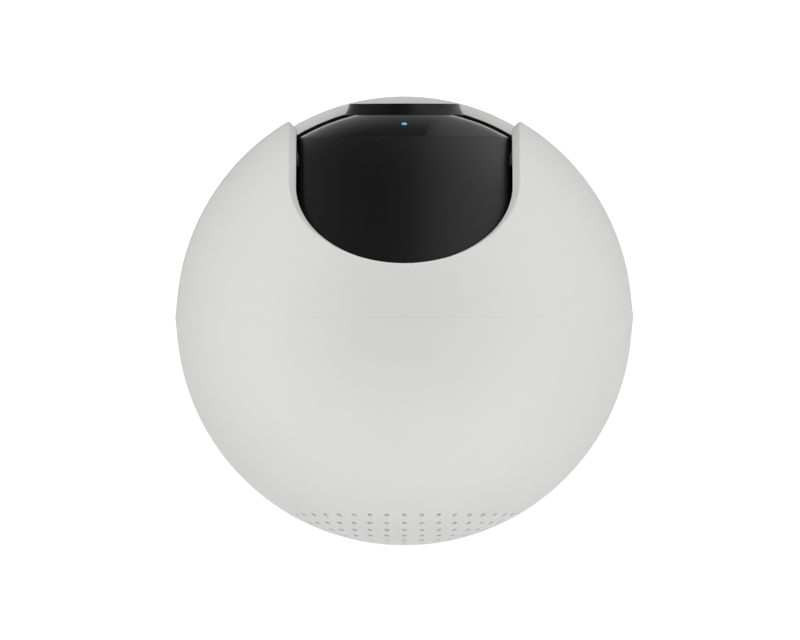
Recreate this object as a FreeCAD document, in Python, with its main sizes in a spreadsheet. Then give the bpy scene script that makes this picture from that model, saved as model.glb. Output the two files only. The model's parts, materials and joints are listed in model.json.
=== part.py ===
import FreeCAD, Part
import Sketcher
import math
import os
import re
import sys

from FreeCAD import Placement, Rotation, Vector

sys.path.append(os.path.join(FreeCAD.getHomePath(), "Mod", "PartDesign"))
from fcgear import fcgear, involute

# Indoor security camera: a white ball that pans on a base cup, with a black lens unit that tilts in its slot.
# Millimetres. Origin on the table under the middle of the base, front towards -Y, +Z up.

doc = FreeCAD.newDocument("IndoorCamera")
sheet = doc.addObject("Spreadsheet::Sheet", "Sizes")

# Driving dimensions

SIZES = [
    ("ball_r", 44.0, "outer radius of the ball"),
    ("seam_ridge", 0.24, "how far the ball stands proud at the seam of its two shells"),
    ("seam_flat", 6.0, "degrees from the seam over which the shells run straight up to the ridge"),
    ("shell_wall", 2.16, "wall of the two ball shells"),
    ("shell_join", 0.04, "gap between the two shells at their seam"),
    ("lip_depth", 3.0, "length of the rear shell's lip inside the front shell"),
    ("lip_wall", 1.1, "wall of that lip"),
    ("fit_gap", 0.05, "sliding clearance between pieces pushed together by hand"),
    ("cap_rise", 11.0, "height above the ball's lowest point at which the turntable ends and the shells begin"),
    ("cap_gap", 0.15, "gap between the shells and the turntable"),
    ("slot_half", 20.79, "half width of the lens slot at the shell's inner face"),
    ("slot_flare", 41.5, "degrees by which each side of the slot opens outwards"),
    ("tilt_up", 45.0, "degrees the lens unit tilts up"),
    ("tilt_down", 10.0, "degrees the lens unit tilts down"),
    ("slot_margin", 1.0, "degrees by which the slot's ends lie past the lens at its limits"),
    ("unit_gap", 1.72, "gap between the lens unit and the inside of the shells"),
    ("side_gap", 0.54, "gap between the lens unit's flat sides and the slot"),
    ("unit_wall", 2.0, "curved wall of the lens unit"),
    ("cheek", 1.6, "flat side wall of the lens unit"),
    ("cover_lap_top", 14.2, "degrees the lens unit's wall runs on above the slot at the lowest tilt"),
    ("cover_lap_low", 1.2, "degrees the lens unit's wall runs on below the slot at the highest tilt"),
    ("mask_rim", 19.85, "radius of the front mask"),
    ("mask_wall", 2.0, "wall of the front mask"),
    ("mask_join", 0.1, "gap between the mask and the lens unit's shell"),
    ("ring_base_r", 11.4, "radius of the lens ring where it stands on the mask"),
    ("ring_front_r", 10.53, "radius of the lens ring at its front"),
    ("ring_seat", 2.12, "depth of the ring's seat below the top of the mask's dome"),
    ("ring_edge", 1.0, "height of the ring's straight edge above its seat"),
    ("ring_depth", 3.18, "height of the whole ring above its seat"),
    ("ring_flare_r", 3.4, "radius of the hollow curve round the ring"),
    ("ring_mouth_r", 8.9, "radius of the ring's mouth"),
    ("ring_throat_r", 7.7, "radius of the ring's throat"),
    ("sleeve_r", 9.5, "radius of the ring's sleeve through the mask"),
    ("sleeve_wall", 0.9, "wall of that sleeve"),
    ("sleeve_depth", 4.0, "length of that sleeve"),
    ("head_length", 6.6, "length of the lens barrel's wide head"),
    ("head_wall", 1.6, "wall of the lens barrel's head"),
    ("thread_r", 6.0, "radius of the lens barrel's threaded part"),
    ("thread_length", 13.5, "length of the lens barrel's threaded part"),
    ("barrel_bore", 4.6, "bore of the lens barrel"),
    ("glass_dome", 1.9, "height of the front lens above the barrel's edge"),
    ("glass_edge", 1.4, "edge thickness of the front lens"),
    ("lens_thick", 2.2, "thickness of each inner lens"),
    ("back_focus", 6.1, "distance from the lens barrel back to the image sensor's face"),
    ("sensor_thick", 1.0, "thickness of the image sensor"),
    ("sensor_wide", 8.0, "width of the image sensor"),
    ("sensor_high", 7.0, "height of the image sensor"),
    ("board_thick", 1.2, "thickness of every printed circuit board"),
    ("sensor_board_wide", 34.0, "width of the sensor board"),
    ("sensor_board_up", 15.0, "height of the sensor board above the lens axis"),
    ("sensor_board_down", 11.0, "depth of the sensor board below the lens axis"),
    ("holder_wide", 18.0, "width of the lens holder's box"),
    ("holder_high", 14.0, "height of the lens holder's box"),
    ("holder_deep", 6.4, "depth of the lens holder's box"),
    ("holder_wall", 1.2, "wall of the lens holder"),
    ("holder_neck", 8.0, "length of the lens holder's threaded neck"),
    ("blade_wide", 10.0, "width of the infrared cut blade"),
    ("blade_high", 7.0, "height of the infrared cut blade"),
    ("blade_thick", 0.4, "thickness of the infrared cut blade"),
    ("blade_travel", 5.2, "travel of the infrared cut blade"),
    ("window_r", 2.2, "radius of each window in the blade"),
    ("lamp_board_r", 17.6, "radius of the infrared lamp board"),
    ("lamp_board_deep", 9.12, "depth of the lamp board's rear face below the lens unit's surface"),
    ("lamp_ring_r", 13.6, "distance of the infrared lamps from the lens axis"),
    ("lamp_r", 1.5, "radius of an infrared lamp"),
    ("status_up", 14.8, "height of the status lamp above the lens axis"),
    ("status_r", 0.58, "radius of the status lamp's light pipe"),
    ("mic_down", 15.0, "distance of the microphone below the lens axis"),
    ("mic_r", 0.5, "radius of the microphone's hole"),
    ("rear_plate", 1.6, "thickness of the lens unit's rear cover"),
    ("plate_gap", 0.15, "gap round the lens unit's rear cover"),
    ("card_angle", 50.0, "degrees below the lens axis at which the memory card goes in"),
    ("card_wide", 11.0, "width of the memory card"),
    ("card_long", 15.0, "length of the memory card"),
    ("card_thick", 0.8, "thickness of the memory card"),
    ("card_sink", 0.6, "how far the card lies below the lens unit's surface"),
    ("card_push", 0.8, "travel of the card when it is pushed to release it"),
    ("card_x", -5.0, "sideways place of the card slot"),
    ("socket_wall", 0.6, "wall of the card socket"),
    ("card_slack", 0.2, "play of the card in its slot"),
    ("reset_x", 8.0, "sideways place of the reset button"),
    ("reset_r", 1.3, "radius of the reset button"),
    ("reset_travel", 0.35, "travel of the reset button"),
    ("reset_sink", 0.3, "how far the reset button lies below the lens unit's surface"),
    ("reset_long", 3.6, "length of the reset button"),
    ("gear_pitch", 0.6, "module of all the gears, pitch diameter over teeth"),
    ("gear_play", 0.1, "extra distance between gear centres that gives their teeth play"),
    ("tilt_teeth", 48, "teeth of the tilt gear"),
    ("pan_teeth", 60, "teeth of the pan gear"),
    ("pinion_teeth", 12, "teeth of each motor's pinion"),
    ("gear_wide", 2.4, "width of the pan gear"),
    ("tilt_gear_wide", 2.5, "width of the tilt gear"),
    ("pinion_over", 0.3, "how far a pinion is wider than its gear at each side"),
    ("axle_r", 4.0, "radius of the lens unit's pivots"),
    ("axle_bore", 2.4, "radius of the cable way through the hollow pivot"),
    ("bush_play", 0.04, "radial clearance of a pivot in its bush"),
    ("bush_wall", 1.4, "wall of a tilt bush"),
    ("bush_flange", 0.6, "thickness of a tilt bush's flange"),
    ("bush_flange_r", 7.0, "radius of a tilt bush's flange"),
    ("arm_gap", 0.95, "gap between the tilt gear and the yoke's arm"),
    ("arm_thick", 2.4, "thickness of the yoke"),
    ("arm_round", 8.0, "radius of the yoke's arm round the pivot"),
    ("web_drop", 29.0, "how far below the centre the yoke's web lies"),
    ("web_front", 7.0, "distance of the yoke's web behind the tilt axis"),
    ("web_back", 12.0, "distance of the web's rear edge beside the motor"),
    ("plate_back", 21.0, "distance of the rear edge of the web's middle plate"),
    ("plate_half", 15.0, "half width of that plate"),
    ("arm_reach", 26.0, "how far the yoke's arms reach behind the tilt axis"),
    ("arm_reach_drop", 0.5, "how far below the tilt axis they reach so far"),
    ("arm_tip_r", 3.4, "rounding of the arms' rear corner"),
    ("arm_tip_back", 24.6, "distance behind the tilt axis at which that rounding ends"),
    ("arm_tip_up", 4.4, "height above the tilt axis at which it ends"),
    ("arm_crown", 3.5, "distance behind the tilt axis at which an arm's round top begins"),
    ("arm_brow", 5.0, "how far below the tilt axis the round top ends at the front"),
    ("arm_shin", 2.8, "distance of an arm's front corner behind the tilt axis"),
    ("arm_shin_drop", 22.0, "how far below the tilt axis that corner lies"),
    ("yoke_screw_x", 11.8, "sideways place of the yoke's screws"),
    ("yoke_screw_near", 10.0, "distance of the yoke's front screws behind the middle"),
    ("yoke_screw_far", 18.0, "distance of the yoke's rear screws behind the middle"),
    ("shell_screw_out", 3.52, "how far the front shell's screws lie outside the lens unit's sides"),
    ("shell_screw_inset", 0.375, "how far the front shell's screws lie inside its wall at the turntable"),
    ("shell_screw_in", 3.3, "how far the rear shell's screws lie inside the lens unit's sides"),
    ("shell_screw_behind", 19.8, "distance of the rear shell's screws behind the middle"),
    ("shell_boss_long", 3.4, "height of the shells' screw bosses"),
    ("post_r", 2.2, "radius of the screw posts"),
    ("pilot_r", 0.8, "radius of the pilot holes and screw shanks"),
    ("screw_head_r", 1.7, "radius of the screw heads"),
    ("screw_head", 1.0, "height of the screw heads"),
    ("can_r", 10.0, "radius of the stepper motors"),
    ("can_long", 11.2, "length of the stepper motors"),
    ("motor_clear", 1.0, "gap between the pan motor and the bottom cover"),
    ("ear_reach", 14.0, "distance of a motor's ear holes from its shaft"),
    ("ear_r", 3.2, "radius of a motor's ears"),
    ("ear_thick", 1.0, "thickness of a motor's ears"),
    ("shaft_r", 1.2, "radius of a motor's shaft"),
    ("tilt_motor_angle", 35.0, "degrees below straight back at which the tilt motor lies"),
    ("main_board_y", 26.4, "distance of the main board behind the centre"),
    ("main_board_wide", 40.0, "width of the main board"),
    ("main_board_up", 15.0, "height of the main board above the centre"),
    ("main_board_down", 22.0, "depth of the main board below the centre"),
    ("board_screw_x", 17.0, "sideways place of the main board's screws"),
    ("board_screw_up", 12.0, "height of the main board's upper screws"),
    ("board_screw_down", 18.0, "depth of the main board's lower screws"),
    ("chip_wide", 14.0, "width of the processor"),
    ("chip_thick", 1.2, "thickness of the processor"),
    ("chip_up", 7.5, "height of the processor above the centre"),
    ("sink_wide", 15.0, "width of the heatsink"),
    ("sink_high", 12.0, "height of the heatsink"),
    ("sink_deep", 3.6, "depth of the heatsink with its fins"),
    ("speaker_r", 17.0, "radius of the speaker"),
    ("gasket_thick", 2.23, "thickness of the speaker's gasket"),
    ("speaker_deep", 3.6, "depth of the speaker's frame"),
    ("magnet_r", 7.0, "radius of the speaker's magnet"),
    ("magnet_deep", 2.6, "depth of the speaker's magnet"),
    ("grille_pitch", 4.33, "degrees between the rings of the speaker's holes"),
    ("grille_rings", 7, "rings of holes round the middle one"),
    ("grille_hole_r", 0.48, "radius of each hole"),
    ("antenna_wide", 5.5, "width of the antenna strip"),
    ("antenna_high", 16.0, "height of the antenna strip"),
    ("antenna_thick", 0.8, "thickness of the antenna strip"),
    ("antenna_gap", 0.6, "gap between the antenna strip's corner and the rear shell"),
    ("antenna_x", 25.5, "distance of the antenna strip from the middle"),
    ("ball_gap", 1.0, "gap between the ball and the base's bowl"),
    ("rim_drop", 19.0, "how far the cup's rim lies below the ball's centre"),
    ("rim_width", 2.15, "width of the cup's flat rim"),
    ("rim_round", 0.4, "rounding of the rim's outer edge"),
    ("rim_solid", 7.0, "depth of the solid rim above the base's cavity"),
    ("cup_wall", 2.2, "outer wall of the base cup"),
    ("bowl_wall", 2.2, "wall of the bowl"),
    ("well_r", 19.2, "radius of the flat well in the bowl"),
    ("well_drop", 1.0, "depth of the well below the bowl's lowest point"),
    ("deck_thick", 2.4, "thickness of the well's floor"),
    ("foot_r", 34.5, "radius of the base at its bottom"),
    ("foot_lift", 1.0, "height of the base's bottom edge above the table"),
    ("cover_thick", 2.2, "thickness of the bottom cover"),
    ("cover_gap", 0.15, "gap round the bottom cover"),
    ("foot_ring_in", 25.0, "inner radius of the rubber foot"),
    ("foot_ring_wide", 4.0, "width of the rubber foot"),
    ("foot_sink", 0.8, "depth of the rubber foot's groove"),
    ("cover_screw_r", 27.0, "distance of the cover's screws from the middle"),
    ("disc_r", 17.4, "radius of the turntable's flat disc"),
    ("disc_lift", 1.5, "height of that disc above the well's floor"),
    ("hub_r", 9.9, "radius of the turntable's hub"),
    ("hub_bore", 7.5, "radius of the cable way through the hub"),
    ("hub_lip", 0.2, "height of the hub's lip below the retaining ring"),
    ("cap_clear", 0.78, "gap between the turntable and the lens unit"),
    ("pan_bush_wall", 2.1, "wall of the pan bush"),
    ("pan_bush_flange_r", 16.4, "radius of the pan bush's flange"),
    ("pan_slide", 0.1, "gap between the pan bush and the turntable's disc"),
    ("gear_drop", 0.6, "gap between the well's floor and the pan gear"),
    ("clip_thick", 0.6, "thickness of the retaining ring"),
    ("clip_depth", 0.6, "depth of the retaining ring's groove"),
    ("clip_wide", 2.6, "width of the retaining ring"),
    ("insert_r", 4.8, "radius of the tripod insert"),
    ("insert_bore", 2.55, "radius of the tripod thread's wall"),
    ("insert_long", 7.0, "length of the tripod insert"),
    ("insert_boss", 2.2, "wall of the boss round the tripod insert"),
    ("cover_screw_long", 11.0, "length of the bottom cover's screws above their seats"),
    ("ear_post_long", 16.5, "length of the posts that carry the pan motor's ears"),
    ("ear_screw_long", 8.25, "depth of those posts' pilot holes"),
    ("base_board_wide", 30.0, "width of the base board"),
    ("base_board_front", 10.0, "distance of the base board's front edge behind the middle"),
    ("base_board_deep", 19.5, "depth of the base board from front to back"),
    ("base_board_lift", 2.2, "height of the base board above the bottom cover"),
    ("usb_wide", 7.5, "width of the power inlet"),
    ("usb_high", 2.6, "height of the power inlet"),
    ("usb_long", 5.4, "length of the power inlet"),
    ("usb_overlap", 1.6, "how far the power inlet reaches in over the base board"),
    ("usb_wall", 0.35, "wall of the power inlet's shell"),
    ("usb_tongue", 0.7, "thickness of the power inlet's tongue"),
    ("plug_way", 2.0, "room round the inlet for the plug's body"),
]

NAMES = set()
for row, (alias, size, note) in enumerate(SIZES, start=1):
    sheet.set("A%d" % row, note)
    sheet.set("B%d" % row, str(size))
    sheet.setAlias("B%d" % row, alias)
    NAMES.add(alias)
doc.recompute()

# Lengths that the sizes settle between them, under names that a formula can use as it uses a size

FOLLOWS = {
    "hub_end": "(ball_height - ball_r - ball_gap - well_drop - deck_thick - gear_drop - gear_wide - clip_thick"
               " - hub_lip)",
    "ball_height": "(foot_lift + cover_thick + motor_clear + can_long + pinion_over * 4 + gear_wide + gear_drop"
                   " + deck_thick + well_drop + ball_gap + ball_r)",
    "cap_drop": "(ball_r - cap_rise)",
    "sensor_face": "(ball_r - shell_wall - unit_gap - ring_seat - fit_gap * 4 - head_length - thread_length"
                   " - back_focus)",
    "lamp_board_back": "(ball_r - shell_wall - unit_gap - lamp_board_deep)",
    "speaker_front": "(sqrt((ball_r - shell_wall)^2 - speaker_r^2) - gasket_thick)",
}

# Formulas: each name in a formula is a cell of the sheet or one of the lengths above

WORD = re.compile(r"\b[a-z][a-z0-9_]*\b")


def bound(formula):
    text = str(formula)
    for name, meaning in FOLLOWS.items():
        text = re.sub(r"\b%s\b" % name, meaning, text)
    return WORD.sub(lambda word: "Sizes." + word.group() if word.group() in NAMES else word.group(), text)


def value(formula):
    found = sheet.evalExpression(bound(formula))
    return float(getattr(found, "Value", found))


def less(formula, taken):
    return "(%s) - (%s)" % (formula, taken)


def plus(formula, added):
    return "(%s) + (%s)" % (formula, added)


def circle_at(radius, across):
    """Height of a circle of this radius, at this distance across from its middle."""
    return "sqrt((%s)^2 - (%s)^2)" % (radius, across)


INNER_R = "(ball_r - shell_wall)"
UNIT_R = "(ball_r - shell_wall - unit_gap)"
UNIT_HALF = "(slot_half - side_gap)"
UNIT_IN = "(ball_r - shell_wall - unit_gap - unit_wall)"
BOWL_R = "(ball_r + ball_gap)"
SLOT_D = circle_at(INNER_R, "slot_half")
SLOT_END = "(asin(slot_half / %s) / 1 deg)" % INNER_R
UNIT_TOP = "(tilt_up + tilt_down + slot_margin + %s + cover_lap_top)" % SLOT_END
UNIT_LOW = "(tilt_up + tilt_down + slot_margin + %s + cover_lap_low)" % SLOT_END
MASK_D = circle_at(UNIT_R, "mask_rim")
RING_SEAT = less(UNIT_R, "ring_seat")
RIM_Z = "(ball_height - rim_drop)"
BOWL_RIM = circle_at(BOWL_R, "rim_drop")
RIM_R = plus(BOWL_RIM, "rim_width")
DECK_Z = "(ball_height - %s - well_drop)" % BOWL_R
COVER_TOP = "(foot_lift + cover_thick)"
ARM_X = "(%s + tilt_gear_wide + arm_gap)" % UNIT_HALF
MOTOR_D = "((tilt_teeth + pinion_teeth) * gear_pitch / 2 + gear_play)"
PAN_MOTOR_D = "((pan_teeth + pinion_teeth) * gear_pitch / 2 + gear_play)"
MOTOR_Y = "(%s * cos(tilt_motor_angle))" % MOTOR_D
MOTOR_Z = "(-%s * sin(tilt_motor_angle))" % MOTOR_D

# Directions in which a piece's own +Z can point, and where its own origin then lies

UP = Rotation()
DOWN = Rotation(Vector(1, 0, 0), 180)
FRONT = Rotation(Vector(1, 0, 0), 90)
BACK = Rotation(Vector(1, 0, 0), -90)
RIGHT = Rotation(Vector(0, 1, 0), 90)
LEFT = Rotation(Vector(0, 1, 0), -90)
CENTRE = ("0", "0", "ball_height")

# Building blocks


def put(item, at=("0", "0", "0"), turn=UP, angle=None):
    item.Placement = Placement(Vector(*[value(part) for part in at]), turn)
    for axis, formula in zip("xyz", at):
        if formula != "0":
            item.setExpression("Placement.Base." + axis, bound(formula))
    if angle is not None:
        item.setExpression("Placement.Rotation.Angle", bound(angle))
    return item


def made(kind, name, sizes, at=("0", "0", "0"), turn=UP, angle=None):
    item = doc.addObject("Part::" + kind, name)
    for size, formula in sizes.items():
        item.setExpression(size, bound(formula))
    return put(item, at, turn, angle)


def rod(name, radius, length, at=("0", "0", "0"), turn=UP):
    return made("Cylinder", name, {"Radius": radius, "Height": length}, at, turn)


def ball(name, radius, at=("0", "0", "0")):
    return made("Sphere", name, {"Radius": radius}, at)


def cone(name, low, high, length, at=("0", "0", "0"), turn=UP, angle=None):
    return made("Cone", name, {"Radius1": low, "Radius2": high, "Height": length}, at, turn, angle)


def block(name, wide, deep, high, at=("0", "0", "0")):
    """A box centred on at in X and Y, standing on at in Z."""
    corner = (less(at[0], "(%s) / 2" % wide), less(at[1], "(%s) / 2" % deep), at[2])
    return made("Box", name, {"Length": wide, "Width": deep, "Height": high}, corner)


def cut(name, base, *tools):
    item = doc.addObject("Part::Cut", name)
    item.Base = base
    item.Tool = tools[0] if len(tools) == 1 else fuse(name + "_tools", *tools)
    return item


def fuse(name, *items):
    if len(items) == 1:
        return group(name, items)
    item = doc.addObject("Part::MultiFuse", name)
    item.Shapes = list(items)
    return item


def group(name, items):
    item = doc.addObject("Part::Compound", name)
    item.Links = list(items)
    return item


def tube(name, outer, inner, length, at=("0", "0", "0"), turn=UP):
    bore = rod(name + "_bore", inner, length)
    return put(cut(name, rod(name + "_rod", outer, length), bore), at, turn)


# Sketches: an outline is a list of corners (x, y), and (x, y, radius, side) is reached by an arc whose centre
# lies on the left (1) or right (-1) of the way

ROLES = {"XY": "XY_Plane", "XZ": "XZ_Plane", "YZ": "YZ_Plane"}


def new_body(name):
    return doc.addObject("PartDesign::Body", name)


def new_sketch(body, plane, offset="0"):
    sketch = body.newObject("Sketcher::SketchObject", body.Name + "_sketch")
    role = ROLES[plane]
    support = [item for item in body.Origin.OriginFeatures if item.Role == role][0]
    sketch.AttachmentSupport = [(support, "")]
    sketch.MapMode = "FlatFace"
    if offset != "0":
        sketch.setExpression("AttachmentOffset.Base.z", bound(offset))
    return sketch


def fix(sketch, kind, *where, formula):
    """A constraint whose datum follows a formula."""
    index = sketch.addConstraint(Sketcher.Constraint(kind, *where, value(formula)))
    if WORD.search(formula):
        sketch.setExpression("Constraints[%d]" % index, bound(formula))


def fix_point(sketch, geometry, end, corner):
    for kind, formula, axis in (("DistanceX", corner[0], -2), ("DistanceY", corner[1], -1)):
        if formula == "0":
            sketch.addConstraint(Sketcher.Constraint("PointOnObject", geometry, end, axis))
        else:
            fix(sketch, kind, geometry, end, formula=formula)


def draw_outline(sketch, outline):
    points = [Vector(value(corner[0]), value(corner[1]), 0) for corner in outline]
    ends = []
    for index, corner in enumerate(outline):
        start, stop = points[index - 1], points[index]
        if len(corner) == 2:
            geometry = sketch.addGeometry(Part.LineSegment(start, stop), False)
            ends.append((geometry, 1, 2))
            continue
        radius, side = value(corner[2]), corner[3]
        way = stop - start
        left = Vector(-way.y, way.x, 0).normalize()
        middle = (start + stop) * 0.5 + left * (side * math.sqrt(radius ** 2 - (way.Length / 2) ** 2))
        first, last = (start, stop) if side > 0 else (stop, start)
        turns = [math.atan2(end.y - middle.y, end.x - middle.x) for end in (first, last)]
        arc = Part.ArcOfCircle(Part.Circle(middle, Vector(0, 0, 1), radius), turns[0], turns[1])
        geometry = sketch.addGeometry(arc, False)
        ends.append((geometry, 1, 2) if side > 0 else (geometry, 2, 1))
    for index, corner in enumerate(outline):
        geometry, start_end, stop_end = ends[index]
        following = ends[(index + 1) % len(ends)]
        sketch.addConstraint(Sketcher.Constraint("Coincident", geometry, stop_end, following[0], following[1]))
        fix_point(sketch, geometry, stop_end, corner)
        if len(corner) == 4:
            fix(sketch, "Radius", geometry, formula=corner[2])


def draw_circle(sketch, centre, radius):
    middle = Vector(value(centre[0]), value(centre[1]), 0)
    geometry = sketch.addGeometry(Part.Circle(middle, Vector(0, 0, 1), value(radius)), False)
    fix_point(sketch, geometry, 3, centre)
    fix(sketch, "Radius", geometry, formula=radius)


def revolved(name, outline, plane="XZ"):
    """A body turned about the second axis of its sketch plane."""
    body = new_body(name)
    sketch = new_sketch(body, plane)
    draw_outline(sketch, outline)
    turned = body.newObject("PartDesign::Revolution", name + "_turned")
    turned.Profile = sketch
    turned.ReferenceAxis = (sketch, ["V_Axis"])
    turned.Angle = 360
    return body


def add_pad(body, length, outline=None, circles=(), plane="XY", offset="0"):
    sketch = new_sketch(body, plane, offset)
    if outline:
        draw_outline(sketch, outline)
    for centre, radius in circles:
        draw_circle(sketch, centre, radius)
    pad = body.newObject("PartDesign::Pad", body.Name + "_pad")
    pad.Profile = sketch
    pad.setExpression("Length", bound(length))
    return pad


def add_pocket(body, length, circles, plane="XY", offset="0"):
    """A pocket that runs both ways from its sketch, by half of length each."""
    sketch = new_sketch(body, plane, offset)
    for centre, radius in circles:
        draw_circle(sketch, centre, radius)
    pocket = body.newObject("PartDesign::Pocket", body.Name + "_pocket")
    pocket.Profile = sketch
    pocket.Midplane = True
    pocket.setExpression("Length", bound(length))
    return pocket


def rectangle(wide, low, high):
    half = "(%s) / 2" % wide
    return [("-" + half, low), (half, low), (half, high), ("-" + half, high)]


# Screws and gears


def screw(name, length, at, turn=UP):
    """A pan head screw: its head stands on its own origin and its shank runs down from it."""
    head = rod(name + "_head", "screw_head_r", "screw_head")
    shank = rod(name + "_shank", "pilot_r", length, turn=DOWN)
    slot = "pilot_r / 2"
    wings = [block(name + "_slot%d" % way, *(("pilot_r * 2.2", slot) if way else (slot, "pilot_r * 2.2")),
                   "screw_head", ("0", "0", "screw_head / 2")) for way in (0, 1)]
    return put(cut(name, fuse(name + "_solid", head, shank), *wings), at, turn)


def gear_wheel(name, teeth, width, bore):
    """A spur gear on its own Z axis with one tooth on its +X side."""
    maker = fcgear.FCWireBuilder()
    involute.CreateExternalGear(maker, value("gear_pitch"), int(value(teeth)), 20)
    rim = Part.Wire([part.toShape() for part in maker.wire])
    wheel = Part.Face(rim).extrude(Vector(0, 0, value(width)))
    item = doc.addObject("Part::Feature", name)
    item.Shape = wheel.cut(Part.makeCylinder(value(bore), value(width))) if bore else wheel
    return item


parts = {}


def node(label, item):
    item.Label = label
    parts[label] = item
    return item


# Base: the cup with its bowl, and what it holds

CUP_IN = "(%s - foot_r)" % RIM_R
CUP_RISE = "(%s - foot_lift)" % RIM_Z
CUP_SIDE_R = "((%s^2 + %s^2) / (2 * %s))" % (CUP_RISE, CUP_IN, CUP_IN)
CUP_WALL_R = "(%s - cup_wall)" % CUP_SIDE_R
COVER_R = "(%s - %s + %s)" % (RIM_R, CUP_SIDE_R, circle_at(CUP_WALL_R, CUP_RISE))


def base_cup():
    side_x = "(%s - %s)" % (RIM_R, CUP_SIDE_R)
    ledge_z = "(%s - rim_solid)" % RIM_Z
    bowl_out = "(%s + bowl_wall)" % BOWL_R
    boss_r = "(well_r + deck_thick)"
    outline = [
        ("foot_r", "foot_lift"),
        (less(RIM_R, "rim_round / 4"), less(RIM_Z, "rim_round"), CUP_SIDE_R, 1),
        (less(RIM_R, "rim_round"), RIM_Z, "rim_round * 1.5", 1),
        (BOWL_RIM, RIM_Z),
        ("well_r", less("ball_height", circle_at(BOWL_R, "well_r")), BOWL_R, -1),
        ("well_r", DECK_Z),
        ("hub_r + bush_play + pan_bush_wall", DECK_Z),
        ("hub_r + bush_play + pan_bush_wall", less(DECK_Z, "deck_thick")),
        (boss_r, less(DECK_Z, "deck_thick")),
        (boss_r, less("ball_height", circle_at(bowl_out, boss_r))),
        (circle_at(bowl_out, "(rim_drop + rim_solid)"), ledge_z, bowl_out, 1),
        ("%s + %s" % (side_x, circle_at(CUP_WALL_R, "rim_solid")), ledge_z),
        (COVER_R, "foot_lift", CUP_WALL_R, -1),
    ]
    shell = revolved("base_cup_shell", outline)
    posts = []
    pilots = []
    for index, (x, y) in enumerate(COVER_SCREWS):
        posts.append(rod("cup_post%d" % index, "post_r", "ball_height - cap_drop - %s" % COVER_TOP, (x, y, COVER_TOP)))
        pilots.append(rod("cup_pilot%d" % index, "pilot_r", "cover_screw_long", (x, y, COVER_TOP)))
    for index, side in enumerate((-1, 1)):
        at = ("%d * ear_reach" % side, "-" + PAN_MOTOR_D, PAN_FACE)
        posts.append(rod("ear_post%d" % index, "post_r", "ear_post_long", at))
        pilots.append(rod("ear_pilot%d" % index, "pilot_r", "ear_screw_long", at))
    solid = fuse("base_cup_solid", shell, *posts)
    inlet = block("inlet_way", "usb_wide + plug_way * 2", "foot_r", "usb_high + plug_way * 2",
                  ("0", "foot_r", "%s - plug_way" % USB_Z))
    bowl = ball("bowl_space", BOWL_R, CENTRE)
    return cut("base_cup_cut", solid, inlet, bowl, *pilots)


PAN_FACE = "(%s - deck_thick - gear_drop - gear_wide - pinion_over * 4)" % DECK_Z
USB_Z = "(%s + base_board_lift + board_thick)" % COVER_TOP
COVER_SCREWS = [("%d * cover_screw_r * cos(45)" % x, "%d * cover_screw_r * sin(45)" % y)
                for x, y in ((1, 1), (-1, 1), (-1, -1), (1, -1))]
BOARD_SCREWS = [("%d * (base_board_wide / 2 - post_r)" % side, "base_board_front + post_r") for side in (-1, 1)]


def bottom_cover():
    groove_out = "foot_ring_in + foot_ring_wide + fit_gap"
    outline = [
        ("insert_r", "foot_lift"),
        ("foot_ring_in - fit_gap", "foot_lift"),
        ("foot_ring_in - fit_gap", "foot_lift + foot_sink"),
        (groove_out, "foot_lift + foot_sink"),
        (groove_out, "foot_lift"),
        (less(COVER_R, "cover_gap"), "foot_lift"),
        (less(COVER_R, "cover_gap"), COVER_TOP),
        ("insert_r + insert_boss", COVER_TOP),
        ("insert_r + insert_boss", "foot_lift + insert_long"),
        ("insert_r", "foot_lift + insert_long"),
    ]
    plate = revolved("bottom_cover_plate", outline)
    holes = []
    for index, (x, y) in enumerate(COVER_SCREWS):
        holes.append(rod("cover_hole%d" % index, "pilot_r + fit_gap", COVER_TOP, (x, y, "0")))
        sink = "foot_sink + screw_head + fit_gap"
        holes.append(rod("cover_sink%d" % index, "screw_head_r + fit_gap", sink, (x, y, "foot_lift")))
    posts = []
    for index, (x, y) in enumerate(BOARD_SCREWS):
        posts.append(rod("cover_post%d" % index, "post_r", "base_board_lift", (x, y, COVER_TOP)))
        holes.append(rod("cover_pilot%d" % index, "pilot_r", "cover_thick / 2 + base_board_lift",
                         (x, y, "%s - cover_thick / 2" % COVER_TOP)))
    posts.append(block("cover_ledge", "usb_wide", "post_r", "base_board_lift",
                       ("0", "base_board_front + base_board_deep - post_r", COVER_TOP)))
    return cut("bottom_cover_cut", fuse("bottom_cover_solid", plate, *posts), *holes)


def stepper(name, at, turn):
    """A can motor: its shaft side lies on its own origin, the can behind it, ears along its own X."""
    can = rod(name + "_can", "can_r", "can_long", turn=DOWN)
    nose = rod(name + "_nose", "shaft_r * 2", "pinion_over", turn=UP)
    body = new_body(name + "_ears")
    reach = "(ear_reach + ear_r)"
    outline = [("-" + reach, "-ear_r / 2"), (reach, "-ear_r / 2"), (reach, "ear_r / 2"), ("-" + reach, "ear_r / 2")]
    add_pad(body, "ear_thick", outline, offset="-ear_thick")
    holes = [rod(name + "_hole%d" % side, "pilot_r + fit_gap", "ear_thick * 3",
                 ("%d * ear_reach" % side, "0", "-ear_thick * 2")) for side in (-1, 1)]
    ears = [rod(name + "_ear%d" % side, "ear_r", "ear_thick", ("%d * ear_reach" % side, "0", "-ear_thick"))
            for side in (-1, 1)]
    terminal = block(name + "_terminal", "can_r", "can_r / 2", "can_long * 0.6", ("0", "can_r", "-can_long * 0.9"))
    shaft_hole = rod(name + "_shaft_hole", "shaft_r + bush_play", "can_long / 2 + pinion_over",
                     ("0", "0", "-can_long / 2"))
    solid = fuse(name + "_solid", can, nose, body, terminal, *ears)
    return put(cut(name + "_cut", solid, shaft_hole, *holes), at, turn)


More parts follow.
